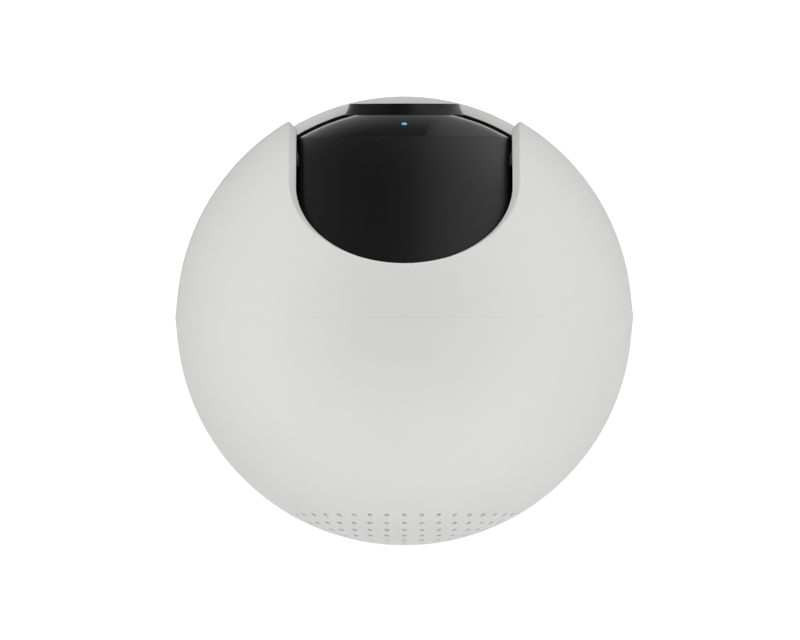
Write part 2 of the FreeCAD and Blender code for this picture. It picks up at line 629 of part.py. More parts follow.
def pinion(name, width, at, turn, spin):
    """A pinion with its shaft, turned about its own axis until its teeth mesh."""
    wheel = gear_wheel(name + "_wheel", "pinion_teeth", width, None)
    wheel.Placement = Placement(Vector(0, 0, value("pinion_over + fit_gap")), Rotation(Vector(0, 0, 1), spin))
    shaft = rod(name + "_shaft", "shaft_r", "can_long / 2 + pinion_over + fit_gap", turn=DOWN)
    put(shaft, ("0", "0", "pinion_over + fit_gap * 2"), DOWN)
    return put(fuse(name + "_solid", wheel, shaft), at, turn)


def usb_inlet():
    at = ("0", "base_board_front + base_board_deep + usb_long / 2 - usb_overlap", USB_Z)
    outer = block("usb_outer", "usb_wide", "usb_long", "usb_high", at)
    hollow = block("usb_hollow", "usb_wide - usb_wall * 2", "usb_long", "usb_high - usb_wall * 2",
                   (at[0], plus(at[1], "usb_wall"), plus(at[2], "usb_wall")))
    tongue = block("usb_tongue_block", "usb_wide - usb_wall * 6", "usb_long - usb_wall * 3", "usb_tongue",
                   (at[0], less(at[1], "usb_wall / 2"), plus(at[2], "usb_high / 2")))
    return cut("usb_shell", outer, hollow), tongue


def build_base():
    node("base_cup", base_cup())
    node("bottom_cover", bottom_cover())
    node("foot_ring", tube("foot_ring_tube", "foot_ring_in + foot_ring_wide", "foot_ring_in",
                           "foot_lift + foot_sink"))
    node("tripod_insert", tube("tripod_insert_tube", "insert_r", "insert_bore", "insert_long",
                               ("0", "0", "foot_lift")))
    sink = "foot_lift + foot_sink + screw_head"
    node("bottom_screws", group("bottom_screw_group", [
        screw("bottom_screw%d" % index, "cover_screw_long", (x, y, sink), DOWN)
        for index, (x, y) in enumerate(COVER_SCREWS)]))
    node("pan_bush", put(revolved("pan_bush_body", [
        ("hub_r + bush_play", "-deck_thick"),
        ("hub_r + bush_play + pan_bush_wall", "-deck_thick"),
        ("hub_r + bush_play + pan_bush_wall", "0"),
        ("pan_bush_flange_r", "0"),
        ("pan_bush_flange_r", "disc_lift - pan_slide"),
        ("hub_r + bush_play", "disc_lift - pan_slide")]), ("0", "0", DECK_Z)))
    node("pan_motor", stepper("pan_motor", ("0", "-" + PAN_MOTOR_D, PAN_FACE), UP))
    node("pan_pinion", pinion("pan_pinion", "gear_wide + pinion_over * 2",
                              ("0", "-" + PAN_MOTOR_D, PAN_FACE), UP, 90 + 180 / value("pinion_teeth")))
    board = new_body("base_board_body")
    holes = [((x, y), "pilot_r + fit_gap") for x, y in BOARD_SCREWS]
    add_pad(board, "board_thick", rectangle("base_board_wide", "base_board_front",
                                            "base_board_front + base_board_deep"), holes)
    node("base_board", put(board, ("0", "0", "%s + base_board_lift" % COVER_TOP)))
    screws = [screw("pan_motor_screw%d" % (side + 1), "ear_screw_long + ear_thick",
                    ("%d * ear_reach" % side, "-" + PAN_MOTOR_D, PAN_FACE + " - ear_thick"), DOWN)
              for side in (-1, 1)]
    screws += [screw("base_board_screw%d" % index, "base_board_lift + board_thick + cover_thick / 2",
                     (x, y, USB_Z)) for index, (x, y) in enumerate(BOARD_SCREWS)]
    node("base_inner_screws", group("base_inner_screw_group", screws))
    shell, tongue = usb_inlet()
    node("usb_inlet", shell)
    node("usb_tongue", tongue)


# Head: the ball's shells and what turns with them

def ball_outline(front):
    """Half of the ball's wall seen from above, from its pole to the seam and back along its inside."""
    way = "-" if front else ""
    angle_y = "%s(ball_r * sin(seam_flat))" % way
    join = "%s(shell_join / 2)" % way
    side = 1 if front else -1
    return [
        ("0", "%sball_r" % way),
        ("ball_r * cos(seam_flat)", angle_y, "ball_r", side),
        ("ball_r + seam_ridge", join),
        (circle_at(INNER_R, "shell_join / 2"), join),
        ("0", way + INNER_R, INNER_R, -side),
    ]


def slot_tool():
    """What the lens slot takes out: a taper swept about the tilt axis between two cones."""
    near = "(%s / 2)" % SLOT_D
    far = "(ball_r * 1.2)"
    half_near = "(slot_half - (%s - %s) * tan(slot_flare))" % (SLOT_D, near)
    half_far = "(slot_half + (%s - %s) * tan(slot_flare))" % (far, SLOT_D)
    body = new_body("slot_sweep")
    sketch = new_sketch(body, "XY")
    draw_outline(sketch, [
        ("-" + half_near, "-" + near),
        ("-" + half_far, "-" + far),
        (half_far, "-" + far),
        (half_near, "-" + near),
    ])
    swept = body.newObject("PartDesign::Revolution", "slot_swept")
    swept.Profile = sketch
    swept.ReferenceAxis = (sketch, ["H_Axis"])
    swept.setExpression("Angle", bound("tilt_up + tilt_down + slot_margin * 2"))
    put(body, CENTRE, Rotation(Vector(-1, 0, 0), 1), "tilt_up + slot_margin")
    ends = []
    for name, angle in (("slot_high", "90 - tilt_up - slot_margin"), ("slot_low", "90 + tilt_down + slot_margin")):
        tip = cone(name + "_cone", half_near, half_far, less(far, near), ("0", "0", near))
        ends.append(put(fuse(name, tip), CENTRE, FRONT, angle))
    return [body] + ends


def shell_screw_places():
    front_x = "(%s + shell_screw_out)" % UNIT_HALF
    front_y = "-" + circle_at("%s - shell_screw_inset" % circle_at(INNER_R, "cap_drop"), front_x)
    return {"front": [("%d * %s" % (side, front_x), front_y) for side in (-1, 1)],
            "rear": [("%d * (%s - shell_screw_in)" % (side, UNIT_HALF), "shell_screw_behind") for side in (-1, 1)]}


def shell_bosses(name):
    bosses = []
    pilots = []
    low = "ball_height - cap_drop + cap_gap"
    for index, (x, y) in enumerate(shell_screw_places()[name]):
        bosses.append(rod("%s_boss%d" % (name, index), "post_r", "shell_boss_long", (x, y, low)))
        pilots.append(rod("%s_pilot%d" % (name, index), "pilot_r", "shell_boss_long - cap_gap * 4", (x, y, low)))
    return bosses, pilots


def below_cap(name):
    """What the shells lose where the turntable takes over."""
    return block(name, "ball_r * 3", "ball_r * 3", "ball_height", ("0", "0", "cap_gap - cap_drop"))


def front_shell():
    shell = put(revolved("front_shell_wall", ball_outline(True), "XY"), CENTRE)
    bosses, pilots = shell_bosses("front")
    solid = fuse("front_shell_solid", shell, *bosses)
    return cut("front_shell_cut", solid, below_cap("front_below"), *slot_tool(), *pilots)


def grille_holes():
    """Holes through the rear shell along the moulding direction: one in the middle and rings round it."""
    drills = []
    depth = value("ball_r * 0.4")
    for ring in range(int(value("grille_rings")) + 1):
        out = value("ball_r") * math.sin(math.radians(ring * value("grille_pitch")))
        count = max(1, 6 * ring)
        for step in range(count):
            turn = 2 * math.pi * step / count
            start = Vector(out * math.sin(turn), value("ball_r") - depth, out * math.cos(turn))
            drills.append(Part.makeCylinder(value("grille_hole_r"), depth * 1.2, start, Vector(0, 1, 0)))
    item = doc.addObject("Part::Feature", "grille_drills")
    item.Shape = Part.makeCompound(drills)
    return put(item, CENTRE)


def rear_shell():
    shell = put(revolved("rear_shell_wall", ball_outline(False), "XY"), CENTRE)
    lip_r = "(%s - fit_gap)" % INNER_R
    lip_in = "(%s - lip_wall)" % lip_r
    lip = put(revolved("rear_shell_lip", [
        (circle_at(lip_in, "lip_depth"), "-lip_depth"),
        (circle_at(lip_r, "lip_depth"), "-lip_depth"),
        (circle_at(INNER_R, "lip_depth"), "lip_depth"),
        (circle_at(lip_in, "lip_depth"), "lip_depth")], "XY"), CENTRE)
    bosses, pilots = shell_bosses("rear")
    for index, (x, z) in enumerate(MAIN_SCREWS):
        wall_y = circle_at(INNER_R, "sqrt((%s)^2 + (%s)^2)" % (x, z))
        start = (x, "main_board_y + board_thick", "ball_height + %s" % z)
        length = "%s - main_board_y - board_thick + shell_wall / 4" % wall_y
        bosses.append(rod("board_boss%d" % index, "post_r", length, start, BACK))
        pilots.append(rod("board_pilot%d" % index, "pilot_r", "post_r * 2", start, BACK))
    solid = fuse("rear_shell_solid", shell, lip, *bosses)
    return cut("rear_shell_cut", solid, below_cap("rear_below"), grille_holes(), *pilots)


MAIN_SCREWS = [("%d * board_screw_x" % side, level) for side in (-1, 1)
               for level in ("board_screw_up", "(-board_screw_down)")]
YOKE_SCREWS = [("%d * yoke_screw_x" % side, y) for side in (-1, 1) for y in ("yoke_screw_near", "yoke_screw_far")]


def turntable():
    disc_z = "(%s + disc_lift - ball_height)" % DECK_Z
    cap_in = "(%s + cap_clear)" % UNIT_R
    clip_top = "(%s - deck_thick - gear_drop - gear_wide - ball_height)" % DECK_Z
    clip_low = "(%s - clip_thick)" % clip_top
    outline = [
        ("hub_bore", "hub_end - ball_height"),
        ("hub_r", "hub_end - ball_height"),
        ("hub_r", clip_low),
        ("hub_r - clip_depth", clip_low),
        ("hub_r - clip_depth", clip_top),
        ("hub_r", clip_top),
        ("hub_r", disc_z),
        ("disc_r", disc_z),
        ("disc_r", "-" + circle_at("ball_r", "disc_r")),
        (circle_at("ball_r", "cap_drop"), "-cap_drop", "ball_r", 1),
        (circle_at(cap_in, "cap_drop"), "-cap_drop"),
        ("hub_bore", "-" + circle_at(cap_in, "hub_bore"), cap_in, -1),
    ]
    cap = put(revolved("turntable_cap", outline), CENTRE)
    posts = []
    holes = []
    for index, (x, y) in enumerate(YOKE_SCREWS):
        foot = "sqrt((ball_r - post_r * 0.7)^2 - (%s)^2 - (%s)^2)" % (x, y)
        posts.append(rod("yoke_post%d" % index, "post_r", "%s - web_drop" % foot,
                         (x, y, "ball_height - %s" % foot)))
        holes.append(rod("yoke_pilot%d" % index, "pilot_r", "post_r * 2",
                         (x, y, "ball_height - web_drop - post_r * 2")))
    for side, places in shell_screw_places().items():
        for index, (x, y) in enumerate(places):
            holes.append(rod("%s_clear%d" % (side, index), "pilot_r + fit_gap", "post_r * 4",
                             (x, y, "ball_height - cap_drop - post_r * 4")))
            holes.append(rod("%s_sink%d" % (side, index), "screw_head_r + fit_gap * 2", "post_r * 4",
                             (x, y, "ball_height - cap_drop - post_r * 4 - screw_head * 1.5")))
    return cut("turntable_cut", fuse("turntable_solid", cap, *posts), *holes)


def yoke():
    body = new_body("yoke_body")
    half = "(%s + arm_thick)" % ARM_X
    add_pad(body, "arm_thick", [
        ("-" + half, "web_front"),
        (half, "web_front"),
        (half, "web_back"),
        ("plate_half", "web_back"),
        ("plate_half", "plate_back"),
        ("-plate_half", "plate_back"),
        ("-plate_half", "web_back"),
        ("-" + half, "web_back")], offset="-web_drop")
    arm = [
        ("web_front", "-web_drop"),
        ("web_back", "-web_drop"),
        ("arm_reach", "-arm_reach_drop"),
        ("arm_tip_back", "arm_tip_up", "arm_tip_r", 1),
        ("arm_crown", circle_at("arm_round", "arm_crown")),
        ("-" + circle_at("arm_round", "arm_brow"), "-arm_brow", "arm_round", 1),
        ("arm_shin", "-arm_shin_drop"),
    ]
    add_pad(body, "arm_thick", arm, plane="YZ", offset=ARM_X)
    add_pad(body, "arm_thick", arm, plane="YZ", offset="-" + half)
    ears = [("%s + %d * ear_reach * sin(tilt_motor_angle)" % (MOTOR_Y, side),
             "%s + %d * ear_reach * cos(tilt_motor_angle)" % (MOTOR_Z, side)) for side in (-1, 1)]
    add_pad(body, "%s - %s" % (ARM_X, UNIT_HALF), circles=[(ear, "post_r") for ear in ears], plane="YZ",
            offset=UNIT_HALF)
    add_pocket(body, "%s * 3" % half, [(("0", "0"), "axle_r + bush_play + bush_wall")], "YZ")
    add_pocket(body, "arm_thick * 4", [(place, "pilot_r + fit_gap") for place in YOKE_SCREWS], "XY", "-web_drop")
    add_pocket(body, "post_r * 4", [(ear, "pilot_r") for ear in ears], "YZ", UNIT_HALF)
    return put(body, CENTRE)


def tilt_gear():
    wheel = gear_wheel("tilt_gear_wheel", "tilt_teeth", "tilt_gear_wide", None)
    wheel.Placement = Placement(Vector(), Rotation(Vector(0, 0, 1), 90 - value("tilt_motor_angle")))
    axle = rod("tilt_gear_axle", "axle_r", "tilt_gear_wide + arm_gap + arm_thick + bush_flange")
    return put(fuse("tilt_gear_solid", wheel, axle), (UNIT_HALF, "0", "ball_height"), RIGHT)


def trunnion():
    flange = rod("trunnion_flange", "axle_r * 2", "tilt_gear_wide")
    axle = rod("trunnion_axle", "axle_r", "tilt_gear_wide + arm_gap + arm_thick + bush_flange")
    bore = rod("trunnion_bore", "axle_bore", "tilt_gear_wide * 4")
    return put(cut("trunnion_cut", fuse("trunnion_solid", flange, axle), bore),
               ("-" + UNIT_HALF, "0", "ball_height"), LEFT)


def tilt_bush(name, side):
    sleeve_r = "axle_r + bush_play + bush_wall"
    body = revolved(name + "_body", [
        ("axle_r + bush_play", "-bush_flange"),
        ("bush_flange_r", "-bush_flange"),
        ("bush_flange_r", "0"),
        (sleeve_r, "0"),
        (sleeve_r, "arm_thick"),
        ("axle_r + bush_play", "arm_thick")])
    sign = "" if side > 0 else "-"
    return put(body, (sign + ARM_X, "0", "ball_height"), RIGHT if side > 0 else LEFT)


def build_head():
    node("front_shell", front_shell())
    node("rear_shell", rear_shell())
    node("turntable", turntable())
    node("yoke", yoke())
    screws = [screw("yoke_screw%d" % index, "arm_thick + post_r * 1.5",
                    (x, y, "ball_height - web_drop + arm_thick")) for index, (x, y) in enumerate(YOKE_SCREWS)]
    places = [place for side in ("front", "rear") for place in shell_screw_places()[side]]
    node("shell_screws", group("shell_screw_group", [
        screw("shell_screw%d" % index, "screw_head * 1.5 + shell_boss_long - cap_gap * 4",
              (x, y, "ball_height - cap_drop - screw_head * 1.5"), DOWN)
        for index, (x, y) in enumerate(places)]))
    low = "(%s - deck_thick - gear_drop - gear_wide)" % DECK_Z
    node("pan_gear", gear_wheel("pan_gear_wheel", "pan_teeth", "gear_wide", "hub_r"))
    spin = Rotation(Vector(0, 0, 1), -90)
    put(parts["pan_gear"], ("0", "0", low), spin)
    node("pan_clip", tube("pan_clip_tube", "hub_r - clip_depth + clip_wide", "hub_r - clip_depth", "clip_thick",
                          ("0", "0", less(low, "clip_thick"))))
    node("tilt_bushes", group("tilt_bush_pair", [tilt_bush("tilt_bush%d" % (side + 1), side) for side in (-1, 1)]))
    motor_at = (UNIT_HALF, MOTOR_Y, "ball_height + %s" % MOTOR_Z)
    ears_turn = Rotation(Vector(1, 0, 0), 90 - value("tilt_motor_angle")).multiply(RIGHT)
    lean = Rotation(Vector(0, 0, 1), 90)
    node("tilt_motor", stepper("tilt_motor", motor_at, ears_turn.multiply(lean)))
    for side in (-1, 1):
        at = (less(UNIT_HALF, "ear_thick"),
              "%s + %d * ear_reach * sin(tilt_motor_angle)" % (MOTOR_Y, side),
              "ball_height + %s + %d * ear_reach * cos(tilt_motor_angle)" % (MOTOR_Z, side))
        screws.append(screw("tilt_motor_screw%d" % (side + 1), "ear_thick + post_r * 1.5", at, LEFT))
    node("tilt_pinion", pinion("tilt_pinion", "tilt_gear_wide", motor_at, RIGHT,
                               270 - value("tilt_motor_angle") + 180 / value("pinion_teeth")))
    board = new_body("main_board_body")
    holes = [((x, z), "pilot_r + fit_gap") for x, z in MAIN_SCREWS]
    add_pad(board, "board_thick", rectangle("main_board_wide", "-main_board_down", "main_board_up"), holes, "XZ",
            "-main_board_y - board_thick")
    node("main_board", put(board, CENTRE))
    screws += [screw("main_board_screw%d" % index, "board_thick + post_r * 1.5",
                     (x, "main_board_y", "ball_height + %s" % z), FRONT)
               for index, (x, z) in enumerate(MAIN_SCREWS)]
    node("head_inner_screws", group("head_inner_screw_group", screws))
    node("processor", block("processor_block", "chip_wide", "chip_thick", "chip_wide",
                            ("0", "main_board_y - chip_thick / 2", "ball_height + chip_up - chip_wide / 2")))
    node("heatsink", heatsink())
    antenna_back = circle_at(INNER_R, "sqrt((antenna_x + antenna_wide / 2)^2 + antenna_high^2 / 4)")
    node("antenna", block("antenna_block", "antenna_wide", "antenna_thick", "antenna_high",
                          ("-antenna_x", "%s - antenna_gap - antenna_thick / 2" % antenna_back,
                           "ball_height - antenna_high / 2")))
    build_speaker()


def heatsink():
    at = ("0", "main_board_y - chip_thick - sink_deep / 2", "ball_height + chip_up - sink_high / 2")
    base = block("heatsink_block", "sink_wide", "sink_deep", "sink_high", at)
    gaps = []
    for index in range(-2, 3):
        gaps.append(block("heatsink_gap%d" % (index + 2), "sink_wide / 10", "sink_deep", "sink_high",
                          ("%d * sink_wide / 5" % index, less(at[1], "board_thick"), at[2])))
    return cut("heatsink_cut", base, *gaps)


def build_speaker():
    back = "speaker_front - speaker_deep"
    frame = [
        ("magnet_r", "-(%s)" % back),
        ("speaker_r - sleeve_wall * 2", "-(%s + speaker_deep / 2)" % back),
        ("speaker_r", "-(%s + speaker_deep / 2)" % back),
        ("speaker_r", "-speaker_front"),
        ("speaker_r - sleeve_wall", "-speaker_front"),
        ("speaker_r - sleeve_wall", "-(%s + speaker_deep / 2 + sleeve_wall)" % back),
        ("magnet_r", "-(%s + sleeve_wall)" % back),
    ]
    node("speaker_frame", put(revolved("speaker_frame_body", frame), CENTRE, FRONT))
    magnet_back = "speaker_front - speaker_deep - magnet_deep + speaker_deep / 2"
    node("speaker_magnet", rod("speaker_magnet_rod", "magnet_r", "magnet_deep",
                               ("0", magnet_back, "ball_height"), BACK))
    cone_edge = "speaker_r - sleeve_wall"
    node("speaker_cone", put(revolved("speaker_cone_body", [
        ("0", "-(speaker_front - sleeve_wall)"),
        ("0", "-(speaker_front - sleeve_wall / 2)"),
        ("magnet_r", "-(speaker_front - sleeve_wall * 1.5)"),
        (cone_edge, "-speaker_front"),
        (cone_edge, "-(speaker_front - sleeve_wall / 2)"),
        ("magnet_r", "-(speaker_front - sleeve_wall * 2)")]), CENTRE, FRONT))
    node("speaker_gasket", tube("speaker_gasket_tube", "speaker_r", "speaker_r - sleeve_wall * 2",
                                "gasket_thick", ("0", "speaker_front", "ball_height"), BACK))


# Lens unit: each piece is built with +Z along the lens axis and +Y up, then laid level in the ball

def in_unit(item):
    return put(item, CENTRE, FRONT)


def unit_wall():
    """The lens unit's curved wall and its two cheeks, turned about the tilt axis over the angle they cover."""
    inner_half = less(UNIT_HALF, "cheek")
    body = new_body("unit_wall")
    sketch = new_sketch(body, "XY")
    draw_outline(sketch, [
        ("-" + UNIT_HALF, "0"),
        ("-(%s)" % inner_half, "0"),
        ("-(%s)" % inner_half, circle_at(UNIT_IN, inner_half)),
        (inner_half, circle_at(UNIT_IN, inner_half), UNIT_IN, -1),
        (inner_half, "0"),
        (UNIT_HALF, "0"),
        (UNIT_HALF, circle_at(UNIT_R, UNIT_HALF)),
        ("-" + UNIT_HALF, circle_at(UNIT_R, UNIT_HALF), UNIT_R, 1),
    ])
    turned = body.newObject("PartDesign::Revolution", "unit_wall_turned")
    turned.Profile = sketch
    turned.ReferenceAxis = (sketch, ["H_Axis"])
    turned.setExpression("Angle", bound("%s + %s" % (UNIT_TOP, UNIT_LOW)))
    return put(body, ("0", "0", "0"), Rotation(Vector(-1, 0, 0), 1), "%s - 90" % UNIT_TOP)


def card_frame(item):
    return put(item, CENTRE, FRONT, "90 + card_angle")


def unit_shell():
    front = block("unit_front", "ball_r * 2", "ball_r * 2", "ball_r", ("0", "0", less(MASK_D, "mask_join")))
    wall = cut("unit_wall_cut", unit_wall(), front)
    bosses = [rod("unit_boss%d" % side, "axle_r * 2", "cheek",
                  ("%d * %s - %s" % (side, UNIT_HALF, "cheek" if side > 0 else "0"), "0", "0"), RIGHT)
              for side in (-1, 1)]
    rail_z = "rear_plate + plate_gap"
    rails = [block("unit_rail%d" % side, "post_r * 2 + cheek / 2", REAR_HALF + " * 1.6", "post_r",
                   ("%d * (%s - cheek * 0.75 - post_r)" % (side, UNIT_HALF), "0", rail_z)) for side in (-1, 1)]
    rails += [rod("sensor_post%d" % index, "post_r", "%s - (%s)" % (SENSOR_BOARD_Z, rail_z), (x, y, rail_z))
              for index, (x, y) in enumerate(SENSOR_SCREWS)]
    seat = unit_card_seat()
    ways = unit_ways()
    bore = rod("unit_cable_way", "axle_bore", "cheek * 3", ("-%s - cheek" % UNIT_HALF, "0", "0"), RIGHT)
    pilots = [rod("unit_pilot%d" % index, "pilot_r", "post_r", (x, y, rail_z))
              for index, (x, y) in enumerate(UNIT_SCREWS)]
    pilots += [rod("sensor_pilot%d" % index, "pilot_r", "post_r * 1.5", (x, y, "%s - post_r * 1.5" % SENSOR_BOARD_Z))
               for index, (x, y) in enumerate(SENSOR_SCREWS)]
    return cut("unit_shell_cut", fuse("unit_shell_solid", wall, *bosses, *rails, *seat), bore, *ways, *pilots)


REAR_HALF = "(%s - plate_gap * 2)" % circle_at(UNIT_IN, "(%s - cheek)" % UNIT_HALF)
UNIT_SCREWS = [("%d * (%s - cheek - post_r)" % (side, UNIT_HALF), "%d * %s / 1.6" % (level, REAR_HALF))
               for side in (-1, 1) for level in (-1, 1)]
SENSOR_BOARD_Z = "(sensor_face - sensor_thick - board_thick)"
SENSOR_SCREWS = [("%d * (sensor_board_wide / 2 - post_r)" % side, "%d * (sensor_board_down - post_r)" % level)
                 for side in (-1, 1) for level in (-1, 1)]
BOARD_Y = "(card_thick / 2 + card_slack + socket_wall)"
SOCKET_HALF = "(card_wide / 2 + card_slack + socket_wall)"
SOCKET_END = "(%s - fit_gap * 4)" % circle_at(UNIT_IN, "sqrt((%s - card_x)^2 + %s^2)" % (SOCKET_HALF, BOARD_Y))
CARD_END = "(%s - card_sink)" % circle_at(UNIT_R, "(card_wide / 2 - card_x)")
SOCKET_BACK = "(%s - card_long - card_push - socket_wall - card_slack)" % CARD_END
CARD_BOARD_END = "(%s - fit_gap * 4)" % circle_at(
    UNIT_IN, "sqrt((%s - cheek)^2 + (%s + board_thick)^2)" % (UNIT_HALF, BOARD_Y))
RESET_END = "(%s - reset_sink)" % circle_at(UNIT_R, "(reset_x + reset_r)")
COLLAR_END = "(%s - fit_gap * 4)" % circle_at(UNIT_IN, "(reset_x + reset_r * 1.5)")


def unit_card_seat():
    """Two ledges on the cheeks that carry the card board."""
    items = []
    for side in (-1, 1):
        ledge = block("card_ledge%d" % side, "cheek * 1.5", "cheek", "card_long",
                      ("%d * (%s - cheek * 1.7)" % (side, UNIT_HALF), "-%s - board_thick - cheek / 2" % BOARD_Y,
                       "%s - card_long" % CARD_BOARD_END))
        items.append(put(fuse("card_ledge_turned%d" % side, ledge), ("0", "0", "0"), FRONT, "card_angle"))
    return items


def unit_ways():
    slot = block("card_way", "card_wide + card_slack * 2", "card_thick + card_slack * 2", "unit_wall * 3",
                 ("card_x", "0", "%s - unit_wall * 2" % UNIT_R))
    hole = rod("reset_way", "reset_r + fit_gap * 2", "unit_wall * 3", ("reset_x", "0", "%s - unit_wall * 2" % UNIT_R))
    return [put(fuse("unit_ways_turned", slot, hole), ("0", "0", "0"), FRONT, "card_angle")]


def front_mask():
    dome = ball("mask_dome", UNIT_R)
    hollow = ball("mask_hollow", less(UNIT_R, "mask_wall"))
    behind = block("mask_behind", "ball_r * 3", "ball_r * 3", "ball_r + " + MASK_D, ("0", "0", "-ball_r"))
    hole = rod("mask_hole", "sleeve_r + fit_gap", "ball_r")
    seat = rod("mask_seat", "ring_base_r + fit_gap", "ball_r", ("0", "0", RING_SEAT))
    status = rod("mask_status_hole", "status_r", "ball_r", ("0", "status_up", "0"))
    mic = rod("mask_mic_hole", "mic_r", "ball_r", ("0", "-mic_down", "0"))
    post_top = circle_at(less(UNIT_R, "mask_wall / 2"), "lamp_ring_r")
    low = "lamp_board_back + board_thick"
    posts = [rod("mask_post%d" % index, "post_r * 0.7", "%s - (%s)" % (post_top, low), (x, y, low))
             for index, (x, y) in enumerate(LAMP_POSTS)]
    shell = cut("mask_shell", dome, hollow, behind)
    return in_unit(cut("front_mask_cut", fuse("front_mask_solid", shell, *posts), hole, seat, status, mic))


LAMP_POSTS = [("lamp_ring_r * cos(45) * %d" % x, "lamp_ring_r * sin(45) * %d" % y) for x in (-1, 1) for y in (-1, 1)]
LAMPS = [("lamp_ring_r * %d" % side, "0") for side in (-1, 1)]


def lens_ring():
    outline = [
        ("ring_base_r", RING_SEAT),
        ("ring_base_r", plus(RING_SEAT, "ring_edge")),
        ("ring_front_r", plus(RING_SEAT, "ring_depth"), "ring_flare_r", -1),
        ("ring_mouth_r", plus(RING_SEAT, "ring_depth")),
        ("ring_throat_r", plus(RING_SEAT, "ring_edge / 2")),
        ("ring_throat_r", RING_SEAT),
        ("sleeve_r - sleeve_wall", RING_SEAT),
        ("sleeve_r - sleeve_wall", less(RING_SEAT, "sleeve_depth")),
        ("sleeve_r", less(RING_SEAT, "sleeve_depth")),
        ("sleeve_r", RING_SEAT),
    ]
    return in_unit(revolved("lens_ring_body", outline))


HEAD_R = "(sleeve_r - sleeve_wall - fit_gap * 4)"
HEAD_FRONT = "(%s - fit_gap * 4)" % RING_SEAT
HEAD_BACK = "(%s - head_length)" % HEAD_FRONT
BARREL_BACK = "(%s - thread_length)" % HEAD_BACK
GLASS_R = "(%s - head_wall)" % HEAD_R


def build_lens():
    glass_back = "(%s - glass_edge)" % HEAD_FRONT
    node("lens_barrel", in_unit(revolved("lens_barrel_body", [
        ("barrel_bore", BARREL_BACK),
        ("thread_r", BARREL_BACK),
        ("thread_r", HEAD_BACK),
        (HEAD_R, HEAD_BACK),
        (HEAD_R, HEAD_FRONT),
        (GLASS_R, HEAD_FRONT),
        (GLASS_R, glass_back),
        ("barrel_bore", "%s - glass_edge" % glass_back)])))
    dome_r = "((%s^2 + glass_dome^2) / (2 * glass_dome))" % GLASS_R
    node("front_lens", in_unit(revolved("front_lens_body", [
        ("0", glass_back),
        (GLASS_R, glass_back),
        (GLASS_R, HEAD_FRONT),
        ("0", "%s + glass_dome" % HEAD_FRONT, dome_r, 1)])))
    inner = []
    for index, share in enumerate((0.15, 0.5, 0.8)):
        at = "%s + thread_length * %s" % (BARREL_BACK, share)
        inner.append(rod("inner_lens%d" % index, "barrel_bore", "lens_thick", ("0", "0", at)))
    node("inner_lenses", in_unit(group("inner_lens_group", inner)))
    board = new_body("sensor_board_body")
    holes = [(place, "pilot_r + fit_gap") for place in SENSOR_SCREWS]
    add_pad(board, "board_thick", rectangle("sensor_board_wide", "-sensor_board_down", "sensor_board_up"), holes,
            offset=SENSOR_BOARD_Z)
    node("sensor_board", in_unit(board))
    node("image_sensor", in_unit(group("image_sensor_group", [
        block("sensor_block", "sensor_wide", "sensor_high", "sensor_thick",
              ("0", "0", "sensor_face - sensor_thick"))])))
    node("lens_holder", in_unit(lens_holder()))
    build_cut_filter()


def lens_holder():
    low = "sensor_face - sensor_thick"
    box = block("holder_box", "holder_wide", "holder_high", "holder_deep", ("0", "0", low))
    hollow = block("holder_hollow", "holder_wide - holder_wall * 2", "holder_high - holder_wall * 2",
                   "holder_deep - holder_wall", ("0", "0", low))
    neck = rod("holder_neck_rod", "thread_r + holder_wall * 1.2", "holder_neck", ("0", "0", plus(low, "holder_deep")))
    bore = rod("holder_bore", "thread_r", "holder_neck", ("0", "0", plus(low, "holder_deep")))
    window = rod("holder_window", "barrel_bore", "holder_deep * 2", ("0", "0", low))
    return cut("lens_holder_cut", fuse("lens_holder_solid", box, neck), hollow, bore, window)


def build_cut_filter():
    frame_z = "(sensor_face + blade_thick * 3)"
    plate = block("cut_frame_plate", "holder_wide - holder_wall * 2", "holder_high - holder_wall * 2",
                  "blade_thick * 2", ("0", "0", frame_z))
    window = rod("cut_frame_window", "barrel_bore * 0.75", "holder_deep", ("0", "0", frame_z))
    node("ir_cut_frame", in_unit(cut("cut_frame", plate, window)))
    blade_z = plus(frame_z, "blade_thick * 2 + fit_gap * 2")
    shift = "-blade_travel / 2"
    windows = [("%s %s blade_travel / 2" % (shift, sign), "0", blade_z) for sign in "-+"]
    blade = block("cut_blade", "blade_wide", "blade_high", "blade_thick", (shift, "0", blade_z))
    holes = [rod("blade_hole%d" % index, "window_r", "blade_thick", at) for index, at in enumerate(windows)]
    node("ir_cut_blade", in_unit(cut("ir_cut_blade_cut", blade, *holes)))
    panes = [rod("filter_pane%d" % index, "window_r", "blade_thick", at) for index, at in enumerate(windows)]
    node("filter_panes", in_unit(group("filter_pane_group", panes)))
    node("ir_cut_coil", in_unit(group("ir_cut_coil_group", [
        block("coil_block", "holder_wall * 3.5", "holder_high / 2", "holder_deep",
              ("holder_wide / 2 + holder_wall * 1.75", "0", "sensor_face - sensor_thick"))])))


